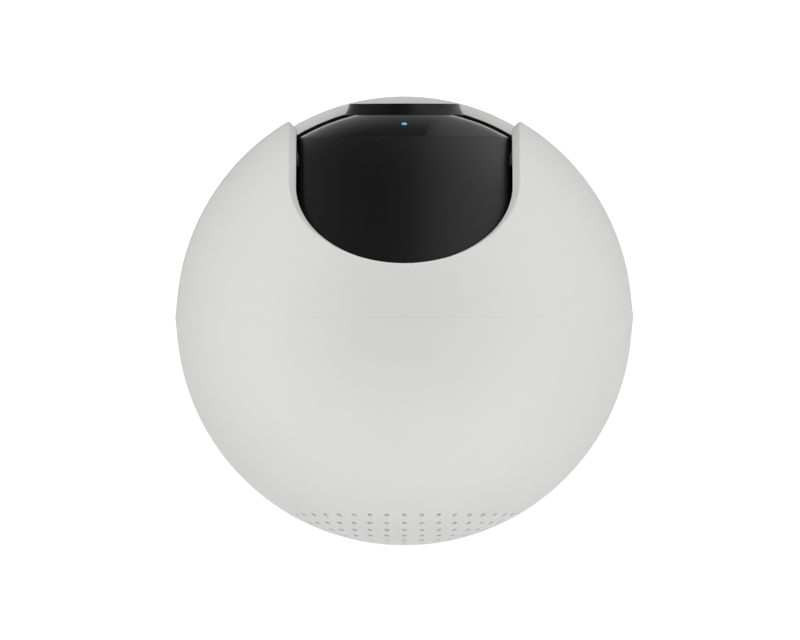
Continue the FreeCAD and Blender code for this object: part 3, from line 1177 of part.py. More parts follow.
def build_lamps():
    board = new_body("lamp_board_body")
    middle = ("0", "0")
    add_pad(board, "board_thick", circles=[(middle, "lamp_board_r"), (middle, "sleeve_r + fit_gap * 4")],
            offset="lamp_board_back")
    node("lamp_board", in_unit(board))
    top = "lamp_board_back + board_thick"
    lamps = []
    for index, (x, y) in enumerate(LAMPS):
        lamps.append(fuse("lamp%d" % index,
                          block("lamp_foot%d" % index, "lamp_r * 2", "lamp_r * 2", "lamp_r / 2", (x, y, top)),
                          rod("lamp_rod%d" % index, "lamp_r * 0.8", "lamp_r", (x, y, top)),
                          ball("lamp_dome%d" % index, "lamp_r * 0.8", (x, y, plus(top, "lamp_r")))))
    node("infrared_lamps", in_unit(group("infrared_lamp_group", lamps)))
    pipe_end = circle_at(less(UNIT_R, "mask_join / 2"), "status_up")
    pipe = rod("status_pipe_rod", "status_r", "%s - (%s) - lamp_r / 2" % (pipe_end, top),
               ("0", "status_up", plus(top, "lamp_r / 2")))
    node("status_pipe", in_unit(group("status_pipe_group", [pipe])))
    node("status_lamp", in_unit(group("status_lamp_group", [
        block("status_lamp_block", "lamp_r * 1.4", "lamp_r", "lamp_r / 2", ("0", "status_up", top))])))
    node("microphone", in_unit(group("microphone_group", [
        rod("microphone_rod", "lamp_r", "lamp_r", ("0", "-mic_down", top))])))
    node("light_sensor", in_unit(group("light_sensor_group", [
        block("light_sensor_block", "lamp_r", "lamp_r", "lamp_r / 2", ("mic_down / 3", "-mic_down", top))])))


def build_card():
    board = block("card_board_block", "(%s - cheek - plate_gap) * 2" % UNIT_HALF, "board_thick", "card_long",
                  ("0", "-%s - board_thick / 2" % BOARD_Y, "%s - card_long" % CARD_BOARD_END))
    node("card_board", card_frame(group("card_board_group", [board])))
    long = "%s - %s" % (SOCKET_END, SOCKET_BACK)
    socket = block("card_socket_block", "%s * 2" % SOCKET_HALF, "%s * 2" % BOARD_Y, long,
                   ("card_x", "0", SOCKET_BACK))
    room = block("card_socket_room", "card_wide + card_slack * 2", "card_thick + card_slack * 2", long,
                 ("card_x", "0", "%s + socket_wall" % SOCKET_BACK))
    node("card_socket", card_frame(cut("card_socket_cut", socket, room)))
    card = block("memory_card_block", "card_wide", "card_thick", "card_long",
                 ("card_x", "0", "%s - card_long" % CARD_END))
    node("memory_card", card_frame(group("memory_card_group", [card])))
    button = rod("reset_rod", "reset_r", "reset_long", ("reset_x", "0", less(RESET_END, "reset_long")))
    collar = rod("reset_collar", "reset_r * 1.4", "fit_gap * 8", ("reset_x", "0", "%s - fit_gap * 8" % COLLAR_END))
    node("reset_button", card_frame(fuse("reset_button_solid", button, collar)))
    high = "(%s - reset_long - reset_travel - fit_gap)" % RESET_END
    switch = block("reset_switch_block", "reset_r * 3.5", "%s * 2" % BOARD_Y, "reset_long",
                   ("reset_x", "0", less(high, "reset_long")))
    node("reset_switch", card_frame(group("reset_switch_group", [switch])))


def build_unit():
    node("unit_shell", in_unit(unit_shell()))
    node("front_mask", front_mask())
    node("lens_ring", lens_ring())
    build_lens()
    build_lamps()
    build_card()
    half = less(UNIT_HALF, "cheek + plate_gap")
    cover = new_body("unit_cover_body")
    holes = [(place, "pilot_r + fit_gap") for place in UNIT_SCREWS]
    add_pad(cover, "rear_plate", rectangle("(%s) * 2" % half, "-" + REAR_HALF, REAR_HALF), holes)
    node("unit_rear_cover", in_unit(cover))
    screws = [screw("unit_screw%d" % index, "rear_plate + post_r", (x, y, "0"), DOWN)
              for index, (x, y) in enumerate(UNIT_SCREWS)]
    screws += [screw("sensor_screw%d" % index, "board_thick + post_r", (x, y, "%s + board_thick" % SENSOR_BOARD_Z))
               for index, (x, y) in enumerate(SENSOR_SCREWS)]
    node("unit_screws", in_unit(group("unit_screw_group", screws)))
    node("tilt_gear", tilt_gear())
    node("trunnion", trunnion())


build_base()
build_head()
build_unit()
doc.recompute()

# Every object is checked before anything is written

faults = ["%s: %s" % (item.Label, item.getStatusString()) for item in doc.Objects
          if "Invalid" in item.State or "Error" in item.State]
faults += [label + ": bad shape" for label, item in parts.items()
           if item.Shape.isNull() or not item.Shape.isValid() or not item.Shape.Solids]
if faults:
    raise SystemExit("\n".join(faults))

os.makedirs("parts", exist_ok=True)
for label, item in parts.items():
    item.Shape.exportStep(os.path.join("parts", label + ".step"))
print(len(parts), "nodes")
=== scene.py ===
# %% [markdown]
# # A ball-shaped indoor camera, seen from straight above
# The real object is a white plastic ball, 88 mm across, that turns in a round base. A black lens unit tilts
# in a slot in its front, and a speaker plays through a patch of small holes at its back. The engineering
# model already holds every piece at its real size and place. This lesson loads that model and remakes the
# pieces that show, with rounded edges and true curves, and then gives every piece a finish.

# %% Load the engineering model
import json
import math

import bpy
from mathutils import Matrix, Vector


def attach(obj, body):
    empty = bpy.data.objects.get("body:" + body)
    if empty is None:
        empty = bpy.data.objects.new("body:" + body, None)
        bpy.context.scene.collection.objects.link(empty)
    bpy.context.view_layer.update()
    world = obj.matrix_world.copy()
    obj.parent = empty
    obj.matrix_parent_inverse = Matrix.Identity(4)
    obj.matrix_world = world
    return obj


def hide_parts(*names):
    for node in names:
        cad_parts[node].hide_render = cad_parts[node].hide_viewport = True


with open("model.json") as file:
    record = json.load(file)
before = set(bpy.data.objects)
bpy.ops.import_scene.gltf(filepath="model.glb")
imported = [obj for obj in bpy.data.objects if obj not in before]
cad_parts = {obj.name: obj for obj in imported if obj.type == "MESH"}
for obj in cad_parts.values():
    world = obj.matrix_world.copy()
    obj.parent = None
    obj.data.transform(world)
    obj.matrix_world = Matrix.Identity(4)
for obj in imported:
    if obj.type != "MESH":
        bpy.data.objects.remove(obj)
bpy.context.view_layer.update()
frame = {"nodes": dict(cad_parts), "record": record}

bpy.ops.object.select_all(action="DESELECT")

# %% [markdown]
# ## Working in millimetres
# Blender counts in metres, but a camera this small is thought of in millimetres. The pieces turn about three
# lines: the upright pan axis, the level axis through the middle of the lens, and the tilt axis across the
# slot. So an outline is written as pairs of numbers, and one small function for each axis says where such a
# pair lies in space. The last two axes cross at the middle of the ball, 68 mm above the table.

# %% Places
BALL_UP = 68.0


def place(x, y, z):
    return Vector((x, y, z)) / 1000


def beside_pan(out, up):
    return place(out, 0, up)


def beside_lens(out, ahead):
    return place(out, -ahead, BALL_UP)


MIDDLE = place(0, 0, BALL_UP)
print("the ball's middle is at", MIDDLE)

# %% [markdown]
# ## Outlines with arcs and soft corners
# A moulded piece has hardly a sharp edge on it: the mould rounds them, and the light catches each rounding as
# a thin bright line. A bevel modifier could round the finished mesh, but on a fine ball it has little room
# between the rows of vertices. Here the corner is rounded in the outline, before it is turned: a point that
# carries a third number gets an arc of that radius.

# %% Arcs
def arc(middle, radius, start, end, steps):
    """Points of an arc from one angle to another, in degrees."""
    angles = [math.radians(start + (end - start) * i / steps) for i in range(steps + 1)]
    return [(middle[0] + radius * math.cos(a), middle[1] + radius * math.sin(a)) for a in angles]


def ball_arc(radius, first, last, steps, up=1):
    """Points of a circle about the outline's origin, from one distance from the axis to another."""
    start, end = (up * math.degrees(math.acos(out / radius)) for out in (first, last))
    return arc((0, 0), radius, start, end, steps)


def swing(first, last, share):
    """From an arc's middle to one of its points: slerp alone gives the direction."""
    return first.slerp(last, share) * first.length


def arc_between(a, b, radius, side, steps):
    """Points of an arc from a to b that bulges to the left (1) or the right (-1) of the way there."""
    a, b = Vector(a), Vector(b)
    along = b - a
    left = Vector((-along.y, along.x)).normalized() * side
    middle = (a + b) / 2 - left * math.sqrt(radius ** 2 - along.length_squared / 4)
    return [tuple(middle + swing(a - middle, b - middle, i / steps)) for i in range(steps + 1)]


# %% [markdown]
# ## Soft corners
# The middle of a corner's arc lies on the line that halves the corner. An arc takes up less than half of
# either side, so that the arcs at both ends of a short side don't run into each other.

# %% Soft corners
SIDE_SHARE = 0.48


def soften(outline, steps=4):
    """The outline with an arc at each point that carries a radius."""
    points = []
    for i, point in enumerate(outline):
        here = Vector(point[:2])
        if len(point) == 2:
            points.append(tuple(here))
            continue
        back = Vector(outline[i - 1][:2]) - here
        on = Vector(outline[(i + 1) % len(outline)][:2]) - here
        half = back.angle(on) / 2
        reach = min(point[2] / math.tan(half), back.length * SIDE_SHARE, on.length * SIDE_SHARE)
        towards = (back.normalized() + on.normalized()).normalized()
        middle = here + towards * reach / math.cos(half)
        first = here + back.normalized() * reach - middle
        last = here + on.normalized() * reach - middle
        points += [tuple(middle + swing(first, last, k / steps)) for k in range(steps + 1)]
    return points


print("a softened corner has", len(soften([(0, 0), (1, 0, 0.2), (1, 1)])) - 2, "points")

# %% [markdown]
# ## Turning an outline into a piece
# Nearly every piece of this object is round about some axis, so it is made as on a lathe. A tiny square is
# added and merged to one vertex, which is extruded from point to point of the outline, and the outline is
# then spun round the axis. A primitive sphere or cylinder would be quicker, but it has no wall, no lip and
# no soft edges. After the spin the doubled vertices are merged and the faces are turned outwards.

# %% Draw and turn
def draw(name, points):
    """A chain of edges through the points."""
    bpy.ops.object.select_all(action="DESELECT")
    bpy.ops.mesh.primitive_plane_add(size=0.0001, location=points[0])
    piece = bpy.context.object
    piece.name = piece.data.name = name
    bpy.ops.object.transform_apply(location=True, rotation=False, scale=False)
    bpy.ops.object.mode_set(mode="EDIT")
    bpy.ops.mesh.select_all(action="SELECT")
    bpy.ops.mesh.merge(type="CENTER")
    for here, there in zip(points, points[1:]):
        bpy.ops.mesh.extrude_region_move(TRANSFORM_OT_translate={"value": there - here})
    bpy.ops.mesh.select_all(action="SELECT")
    return piece


def close_up():
    """Merges doubled vertices, turns the faces outwards and leaves edit mode."""
    bpy.ops.mesh.select_all(action="SELECT")
    bpy.ops.mesh.remove_doubles(threshold=1e-6)
    bpy.ops.mesh.normals_make_consistent(inside=False)
    bpy.ops.object.mode_set(mode="OBJECT")


def turn(name, points, axis, middle=MIDDLE, steps=128, closed=True):
    """A full turn of the outline about an axis through the middle."""
    piece = draw(name, points + points[:1] if closed else points)
    bpy.ops.mesh.spin(steps=steps, angle=2 * math.pi, center=middle, axis=axis)
    close_up()
    return piece


PAN, LENS, TILT = (0, 0, 1), (0, 1, 0), (1, 0, 0)

# %% [markdown]
# ## Cutting, joining and copying
# Slots and holes are taken out with a Boolean modifier, which is applied at once so that the finished mesh is
# plain. A tool that repeats, such as a drill, is modelled once, and each copy gets a mesh of its own.

# %% Cut, join and copy
def take_out(piece, tool):
    """Cuts the tool's shape out of the piece and removes the tool."""
    cut = piece.modifiers.new("cut", "BOOLEAN")
    cut.operation, cut.solver, cut.object = "DIFFERENCE", "EXACT", tool
    bpy.ops.object.select_all(action="DESELECT")
    bpy.context.view_layer.objects.active = piece
    piece.select_set(True)
    bpy.ops.object.modifier_apply(modifier=cut.name)
    bpy.data.objects.remove(tool)


def join(pieces):
    """One object out of several, under the first one's name."""
    bpy.ops.object.select_all(action="DESELECT")
    for piece in pieces:
        piece.select_set(True)
    bpy.context.view_layer.objects.active = pieces[0]
    bpy.ops.object.join()
    return pieces[0]


def copy_to(piece, matrix):
    """A copy with its own mesh, which the matrix moves and turns."""
    twin = piece.copy()
    twin.data = piece.data.copy()
    bpy.context.collection.objects.link(twin)
    twin.data.transform(matrix)
    return twin


def block(name, low, high):
    """A box between two corners in millimetres."""
    bpy.ops.object.select_all(action="DESELECT")
    bpy.ops.mesh.primitive_cube_add(size=1, location=place(*[(a + b) / 2 for a, b in zip(low, high)]))
    box = bpy.context.object
    box.name = box.data.name = name
    box.scale = place(*[b - a for a, b in zip(low, high)])
    bpy.ops.object.transform_apply(location=True, rotation=True, scale=True)
    return box


# %% [markdown]
# ## Finishing a piece
# The last step is the same for each piece: faces that meet at less than 30 degrees are shaded as one smooth
# surface, the piece is tied to the body it moves with, and the plain engineering solid that it stands for is
# hidden. Its material is found later by its slot.

# %% Finish
def finish(piece, body, slot, *nodes, smooth=30):
    """Shades the piece, ties it to its body and hides the solids that it stands for."""
    bpy.ops.object.select_all(action="DESELECT")
    piece.select_set(True)
    bpy.context.view_layer.objects.active = piece
    bpy.ops.object.shade_smooth_by_angle(angle=math.radians(smooth))
    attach(piece, body)
    if nodes:
        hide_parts(*nodes)
    dressed.append((piece, slot))
    size = piece.dimensions * 1000
    print("%s: %.1f x %.1f x %.1f mm, %d faces" % (piece.name, *size, len(piece.data.polygons)))


dressed = []

# %% [markdown]
# ## The ball's two shells
# The ball is two white plastic cups, 2.2 mm thick, that meet at a seam across the top. Each runs straight for
# the last 6 degrees up to a ridge that stands 0.23 mm proud, and that is the faint crease in the middle of
# the ball. One outline, turned about the lens axis, makes either shell. Below, both are cut off where the
# turntable takes over.

# %% Shell blanks
BALL_R, SHELL_IN, RIDGE = 44.0, 41.84, 44.23
RIDGE_HALF, SEAM_HALF = 0.03, 0.003
CAP_Z = 35.15


def shell_blank(name, side):
    flat = math.radians(6)
    outline = ball_arc(BALL_R, 0, BALL_R * math.cos(flat), 56)
    outline += [(RIDGE, RIDGE_HALF), (RIDGE, SEAM_HALF), (SHELL_IN, SEAM_HALF)]
    outline += ball_arc(SHELL_IN, SHELL_IN - 0.02, 0, 40)
    points = [beside_lens(out, side * ahead) for out, ahead in outline]
    shell = turn(name, points, LENS, steps=256, closed=False)
    take_out(shell, block("below", (-60, -60, -40), (60, 60, CAP_Z)))
    return shell


front_shell = shell_blank("front_ball_shell", 1)
rear_shell = shell_blank("rear_ball_shell", -1)
print("shell blanks", front_shell.dimensions * 1000, rear_shell.dimensions * 1000)

# %% [markdown]
# ## The slot for the lens unit
# The slot is as wide as the lens unit and ends in half circles. Its edge opens outwards by 41.5 degrees, so
# a white bevel frames the black. The tool has that bevel as its side. The side is swept about the tilt axis
# from far below to the highest tilt, and at both ends it is spun half round the line out of the ball's
# middle. The lower end lies deep in the base, so the slot runs straight into the gap, as in the photograph.

# %% Along the slot
SLOT_HIGH, SLOT_LOW = 46, -25


def along_slot(name, section, side_steps, end_steps):
    """Sweeps a section, given as distances from the slot's middle and from the tilt axis, round the slot."""
    def section_at(tilt, side):
        way = Matrix.Rotation(math.radians(-tilt), 3, "X")
        return [MIDDLE + way @ place(side * out, -ahead, 0) for out, ahead in section]

    travel = math.radians(SLOT_HIGH - SLOT_LOW)
    parts = []
    for side in (1, -1):
        parts.append(draw(name, section_at(SLOT_LOW, side)))
        bpy.ops.mesh.spin(steps=side_steps, angle=travel, center=MIDDLE, axis=TILT)
        bpy.ops.object.mode_set(mode="OBJECT")
    for tilt, turned in ((SLOT_HIGH, -1), (SLOT_LOW, 1)):
        radial = Matrix.Rotation(math.radians(-tilt), 3, "X") @ Vector((0, -1, 0))
        parts.append(draw(name, section_at(tilt, 1)))
        bpy.ops.mesh.spin(steps=end_steps, angle=turned * math.pi, center=MIDDLE, axis=radial)
        bpy.ops.object.mode_set(mode="OBJECT")
    swept = join(parts)
    bpy.ops.object.mode_set(mode="EDIT")
    close_up()
    return swept


# %% [markdown]
# ## Cutting the slot
# The tool's bevel ends in a small arc near the ball's surface, which leaves a rounded lip of 0.35 mm that
# shows as a light line. The tool leaves that arc one step early and goes straight on, so that it crosses the
# surface instead of running along it.

# %% Cut the slot
SLOT_HALF, SLOT_AHEAD, FLARE = 20.79, 36.31, math.radians(41.5)
TOOL_START, LIP = 20, 0.35


def slot_section():
    """Half of the tool's section: distance from its middle, and distance from the tilt axis."""
    start_half = SLOT_HALF + (TOOL_START - SLOT_AHEAD) * math.tan(FLARE)
    edge = Vector((22.25, 37.96))
    along = Vector((math.sin(FLARE), math.cos(FLARE)))
    skin = Vector((edge.y, -edge.x)).normalized()
    points = soften([tuple(edge - along * 4), (*edge, LIP), tuple(edge + skin * 4)], 6)[1:-2]
    leave = (Vector(points[-1]) - Vector(points[-2])).normalized()
    points.append(tuple(Vector(points[-1]) + leave * 3))
    return [(0, TOOL_START), (start_half, TOOL_START), *points, (36, 50), (0, 50)]


slot_tool = along_slot("slot_tool", slot_section(), 48, 64)
print("slot tool", slot_tool.dimensions * 1000)
take_out(front_shell, slot_tool)
finish(front_shell, "head", "white_plastic", "front_shell")

# %% [markdown]
# ## Painted shade round the slot
# Between the white edge of the slot and the black lens unit the photograph shows a band of deep black, not
# the inside of a white shell. That black is the shade of the deep gap, so a thin black sheet of painted shade
# is drawn there, inside the shell. It follows the slot, so it is swept in the same way.

# %% Painted shade in the slot's gap
# Painted shade: a thin black sheet where the slot's gap lies in shade.
SHADE_SHEET_OUTER, SHADE_SHEET_INNER = 41.8, 41.55
SHADE_SHEET_NEAR, SHADE_SHEET_FAR = 21.8, 26.0
shade_sheet_section = ball_arc(SHADE_SHEET_OUTER, SHADE_SHEET_NEAR, SHADE_SHEET_FAR, 8) + ball_arc(SHADE_SHEET_INNER, SHADE_SHEET_FAR, SHADE_SHEET_NEAR, 8)
slot_gap_painted_shade = along_slot("slot_gap_painted_shade", shade_sheet_section + shade_sheet_section[:1], 32, 48)
finish(slot_gap_painted_shade, "head", "rubber_black")

# %% [markdown]
# ## The speaker's holes
# The speaker plays through 169 holes of 1 mm, one in the middle and seven rings round it. They run straight
# back, the way the mould opens, and a rim widened by 0.04 mm takes off the sharp edge. One drill is modelled
# and copied, and all the copies are taken out at once. A drill has few sides, because there are so many.

# %% The grille
HOLE_R, HOLE_RIM_R = 0.5, 0.54
RINGS, RING_DEGREES = 7, 4.33


def grille_tool():
    profile = [(0, -5), (HOLE_R, -5), (HOLE_R, -0.04), (HOLE_RIM_R, 0.02), (HOLE_RIM_R, 2), (0, 2)]
    drill = turn("drill", [place(out, up, 0) for out, up in profile], LENS, Vector(), steps=14, closed=False)
    drills = []
    for ring in range(RINGS + 1):
        out = BALL_R * math.sin(math.radians(ring * RING_DEGREES))
        holes = max(1, 6 * ring)
        for step in range(holes):
            angle = 2 * math.pi * step / holes
            x, up = out * math.sin(angle), out * math.cos(angle)
            surface = math.sqrt(BALL_R ** 2 - x ** 2 - up ** 2)
            drills.append(copy_to(drill, Matrix.Translation(place(x, surface, BALL_UP + up))))
    bpy.data.objects.remove(drill)
    print(len(drills), "holes")
    return join(drills)


take_out(rear_shell, grille_tool())
finish(rear_shell, "head", "white_plastic", "rear_shell")

# %% [markdown]
# ## The cloth behind the holes
# Such a speaker's holes are usually backed by black cloth against dust, so that nobody sees through them. It
# is a thin dome just inside the shell, a little wider than the patch of holes.

# %% Grille cloth
CLOTH_OUTER, CLOTH_INNER, CLOTH_EDGE = 41.8, 41.6, 25.0
cloth = ball_arc(CLOTH_OUTER, 0, CLOTH_EDGE, 24) + ball_arc(CLOTH_INNER, CLOTH_EDGE, 0, 24)
cloth_points = [beside_lens(out, -ahead) for out, ahead in cloth]
grille_cloth = turn("grille_cloth", cloth_points, LENS, steps=96, closed=False)
finish(grille_cloth, "head", "speaker_paper")

# %% [markdown]
# ## The base cup
# The base is a cup whose side swells gently up to a flat rim, 1.9 mm wide, and whose bowl follows the ball
# 1 mm away. Under the bowl it is hollow, for the motor and the power board. One closed outline gives the
# side, the rim with its soft edges, the bowl, the well with the hole for the turntable's hub, and the
# underside. The way for the power plug is a box with rounded corners, taken out of the back.

# %% Cup
RIM_UP, FOOT_R = 49.0, 34.5
BOWL_R, BOWL_UNDER_R = 45.0, 47.2
WELL_R, WELL_UP, HUB_HOLE_R, WELL_UNDER = 19.2, 22.0, 12.04, 19.6


def bowl_arc(radius, first, last, steps):
    """Points of a circle about the ball's middle, on its lower half, as heights above the table."""
    return [(out, up + BALL_UP) for out, up in ball_arc(radius, first, last, steps, -1)]


def cup():
    outline = [(FOOT_R, 1.0, 0.3), *arc_between((FOOT_R, 1.3), (42.84, 48.55), 140.7, -1, 24)[1:]]
    outline += [(42.94, RIM_UP, 0.35), (41.05, RIM_UP, 0.08)]
    outline += bowl_arc(BOWL_R, 40.6, WELL_R, 24)
    outline += [(WELL_R, WELL_UP, 0.3), (HUB_HOLE_R, WELL_UP, 0.2), (HUB_HOLE_R, WELL_UNDER)]
    outline += [(21.6, WELL_UNDER), *bowl_arc(BOWL_UNDER_R, 21.6, 39.34, 16)]
    outline += arc_between((40.1, 42.0), (32.3, 1.0), 138.5, 1, 16)
    body = turn("base_cup_body", [beside_pan(*p) for p in soften(outline)], PAN, steps=192)
    way = block("plug_way", (-5.75, 28, 4.6), (5.75, 50, 11.2))
    soft = way.modifiers.new("soft", "BEVEL")
    soft.width, soft.segments, soft.limit_method = 0.0012, 5, "ANGLE"
    bpy.ops.object.modifier_apply(modifier=soft.name)
    take_out(body, way)
    return body


base_cup = cup()
finish(base_cup, "base", "white_plastic", "base_cup")

# %% [markdown]
# ## Painted shade inside the rim
# Just inside the rim, the photograph is black and not white, where the deep gap lies in shade. So a strip of
# painted shade, black, lines the top of the bowl in place of the gap's white walls. It is a quarter of a
# millimetre thick, so it stays clear of the ball's ridge.

# %% Painted shade inside the rim
# Painted shade: a thin black strip where the gap inside the rim lies in shade.
RIM_SHADE_TOP = 48.94
rim_shade_outline = [(41.0, RIM_SHADE_TOP), *bowl_arc(44.98, 40.58, 36.7, 12)]
rim_shade_outline += [*bowl_arc(44.72, 36.6, 40.2, 12), (40.25, RIM_SHADE_TOP)]
rim_gap_painted_shade = turn("rim_gap_painted_shade", [beside_pan(*p) for p in rim_shade_outline], PAN, steps=160)
finish(rim_gap_painted_shade, "base", "rubber_black")

# %% [markdown]
# ## The underside
# Nobody sees the underside in the photograph. Such a camera has a plain cover there, with a ring of soft
# rubber to stand on, four screws in the ring's groove, and a brass insert with a thread for a tripod. The
# cover is turned from one outline, with soft edges and a field that is sunk by a fifth of a millimetre, and
# the four screws' holes are drilled through its groove.

# %% Bottom cover
cover = [(4.8, 1.0, 0.15), (7.6, 1.0, 0.15), (7.9, 1.2, 0.1), (23.6, 1.2, 0.1), (23.9, 1.0, 0.15)]
cover += [(24.85, 1.0, 0.15), (24.85, 1.8), (29.15, 1.8), (29.15, 1.0, 0.15), (32.0, 1.0, 0.25)]
cover += [(32.0, 3.2), (6.4, 3.2), (6.4, 8.0), (4.8, 8.0)]
bottom_cover = turn("bottom_cover_plate", [beside_pan(*p) for p in soften(cover)], PAN, steps=160)
SCREW_RING_R = 27
screw_hole = [(0, 0.5), (1.85, 0.5), (1.85, 2.9), (1.05, 2.9), (1.05, 4), (0, 4)]
for quarter in range(4):
    drill = turn("screw_drill", [beside_pan(*p) for p in screw_hole], PAN, steps=32, closed=False)
    corner = Matrix.Rotation(math.radians(45 + 90 * quarter), 4, "Z")
    drill.data.transform(corner @ Matrix.Translation(place(SCREW_RING_R, 0, 0)))
    take_out(bottom_cover, drill)
finish(bottom_cover, "base", "white_plastic", "bottom_cover")

# %% [markdown]
# ## Rubber and brass
# The rubber foot's edges are round, because it is moulded in one soft piece, and the brass insert shows its
# thread as grooves turned one below the other.

# %% Rubber foot and brass insert
foot = soften([(25.0, 1.8), (25.0, 0.0, 0.35), (29.0, 0.0, 0.35), (29.0, 1.8)])
rubber = turn("rubber_foot", [beside_pan(*p) for p in foot], PAN, steps=160)
finish(rubber, "base", "rubber_grey", "foot_ring")

THREAD_PITCH, GROOVE_R, CREST_R = 1.27, 3.1, 2.56
thread = [(4.8, 8.0, 0.2), (4.8, 1.0, 0.2), (GROOVE_R, 1.0)]
for groove in range(5):
    thread += [(CREST_R, 1.6 + groove * THREAD_PITCH), (GROOVE_R, 2.2 + groove * THREAD_PITCH)]
thread.append((CREST_R, 8.0))
insert = turn("tripod_insert_body", [beside_pan(*p) for p in soften(thread)], PAN, steps=64)
finish(insert, "base", "brass", "tripod_insert", smooth=20)

# %% [markdown]
# ## The power inlet
# The inlet at the back is a shell folded from thin stainless sheet. A box is bevelled along its four long
# edges, more below than above, and its mouth is inset by the sheet's thickness and pushed in.

# %% Inlet shell
INLET_LOW, INLET_HIGH = (-3.75, 27.9, 6.6), (3.75, 33.3, 9.2)
HALF_UP, LONG_EDGE, NEAR_SIDE = 0.0079, 0.005, 0.0037


def inlet_shell():
    shell = block("inlet_shell", INLET_LOW, INLET_HIGH)
    for low, width in ((True, 0.0009), (False, 0.0005)):
        for edge in shell.data.edges:
            a, b = (shell.data.vertices[v].co for v in edge.vertices)
            long_edge = abs(a.y - b.y) > LONG_EDGE and abs(a.x) > NEAR_SIDE
            edge.select = long_edge and (a.z < HALF_UP) == low
        for face in shell.data.polygons:
            face.select = False
        bpy.ops.object.mode_set(mode="EDIT")
        bpy.ops.mesh.select_mode(type="EDGE")
        bpy.ops.mesh.bevel(offset=width, segments=5, affect="EDGES")
        bpy.ops.mesh.select_all(action="DESELECT")
        bpy.ops.object.mode_set(mode="OBJECT")
    for face in shell.data.polygons:
        face.select = face.normal.y > 0.9
    bpy.ops.object.mode_set(mode="EDIT")
    bpy.ops.mesh.select_mode(type="FACE")
    bpy.ops.mesh.inset(thickness=0.00035)
    bpy.ops.mesh.extrude_region_move(TRANSFORM_OT_translate={"value": (0, -0.005, 0)})
    # The pieces after this one are drawn from single vertices again.
    bpy.ops.mesh.select_mode(type="VERT")
    close_up()
    return shell


finish(inlet_shell(), "base", "inlet_steel", "usb_inlet")

# %% [markdown]
# ## Contacts
# Five contacts lie side by side on the inlet's tongue and shine like brass. One is modelled, and the others
# are copies of it.

# %% Contacts
CONTACT_STEP = 0.65
contacts = [block("inlet_contacts", (-1.44, 28.6, 8.58), (-1.16, 32.4, 8.66))]
for step in range(1, 5):
    contacts.append(copy_to(contacts[0], Matrix.Translation(place(CONTACT_STEP * step, 0, 0))))
finish(join(contacts), "base", "brass")

# %% [markdown]
# ## The lens unit's shell
# The lens unit is a black drum that follows the inside of the ball, with flat cheeks at its sides. Its
# section, 40.5 mm wide, is spun about the tilt axis over 187 degrees, so the slot is always filled however
# far the unit tilts. The corner between the drum and each cheek is rounded by 0.4 mm, which draws the bright
# line at its side. The front is cut off flat where the glossy mask begins.

# %% Drum
UNIT_HALF, INNER_HALF = 20.25, 18.65
UNIT_R, INNER_R = 40.12, 38.12
UNIT_LOW, UNIT_TURN = math.radians(87), math.radians(187)
MASK_BEGINS = 34.76


def drum():
    inside = arc_between((-18.6, 33.27), (18.6, 33.27), INNER_R, 1, 24)
    outside = arc_between((20.2, 34.66), (-20.2, 34.66), UNIT_R, -1, 40)[1:-1]
    outline = [(-UNIT_HALF, 2), (-INNER_HALF, 2), (-INNER_HALF, 33.2), *inside]
    outline += [(INNER_HALF, 33.2), (INNER_HALF, 2), (UNIT_HALF, 2), (UNIT_HALF, 34.63, 0.4)]
    outline += [*outside, (-UNIT_HALF, 34.63, 0.4)]
    outline = soften(outline, 6)
    low = Matrix.Rotation(UNIT_LOW, 3, "X")
    points = [MIDDLE + low @ place(out, -ahead, 0) for out, ahead in outline + outline[:1]]
    shell = draw("lens_unit_shell", points)
    bpy.ops.mesh.remove_doubles(threshold=1e-7)
    bpy.ops.mesh.edge_face_add()
    bpy.ops.mesh.select_all(action="SELECT")
    bpy.ops.mesh.spin(steps=150, angle=UNIT_TURN, center=MIDDLE, axis=TILT)
    close_up()
    return shell


unit_shell = drum()
take_out(unit_shell, block("unit_front", (-50, -60, 0), (50, -MASK_BEGINS, 120)))
print("drum", unit_shell.dimensions * 1000)

# %% [markdown]
# ## The card slot and the reset hole
# Below the lens, where they show only when the unit tilts up, are the slot of the memory card and the hole of
# the reset button. Both are cut along a line 50 degrees below the lens axis.

# %% Card slot and reset hole
BELOW = Matrix.Translation(MIDDLE) @ Matrix.Rotation(math.radians(50), 4, "X")
slot_way = block("card_way", (-10.7, -45, -0.6), (0.7, -36, 0.6))
slot_way.data.transform(BELOW)
take_out(unit_shell, slot_way)
RESET_R, RESET_SIDE = 1.4, 8
reset_outline = ((0, -45), (RESET_R, -45), (RESET_R, -36), (0, -36))
reset_points = [place(out, ahead, 0) for out, ahead in reset_outline]
reset_way = turn("reset_way", reset_points, LENS, Vector(), steps=40, closed=False)
reset_way.data.transform(BELOW @ Matrix.Translation(place(RESET_SIDE, 0, 0)))
take_out(unit_shell, reset_way)
finish(unit_shell, "lens_unit", "black_satin", "unit_shell")

# %% [markdown]
# ## The glossy front mask
# The mask is the polished black dome round the lens, part of the same sphere as the drum, 40 mm in radius. It
# is turned about the lens axis, with a tongue behind it that keeps light out of the seam, and a bore for the
# lens ring's sleeve. Two fine holes are drilled: one above the lens for the status light, and one below it
# for the microphone.

# %% Mask
LIGHT_UP, MICROPHONE_UP = 14.9, -15.0


def mask():
    outline = ball_arc(UNIT_R, 20.03, 9.66, 32)
    outline += [(9.6, 38.96, 0.08), (9.55, 38.8), (9.55, 36.9)]
    outline += ball_arc(INNER_R, 9.6, 14.6, 12)
    outline += [(14.5, 34.1), (15.35, 34.1), (15.5, 34.765)]
    dome = turn("glossy_mask", [beside_lens(*p) for p in soften(outline)], LENS, steps=192)
    for up, radius in ((LIGHT_UP, 0.64), (MICROPHONE_UP, 0.5)):
        drill = [place(out, -ahead, 0) for out, ahead in ((0, 30), (radius, 30), (radius, 45), (0, 45))]
        hole = turn("fine_hole", drill, LENS, Vector(), steps=32, closed=False)
        hole.data.transform(Matrix.Translation(place(0, 0, BALL_UP + up)))
        take_out(dome, hole)
    return dome


glossy_mask = mask()
finish(glossy_mask, "lens_unit", "black_gloss", "front_mask")

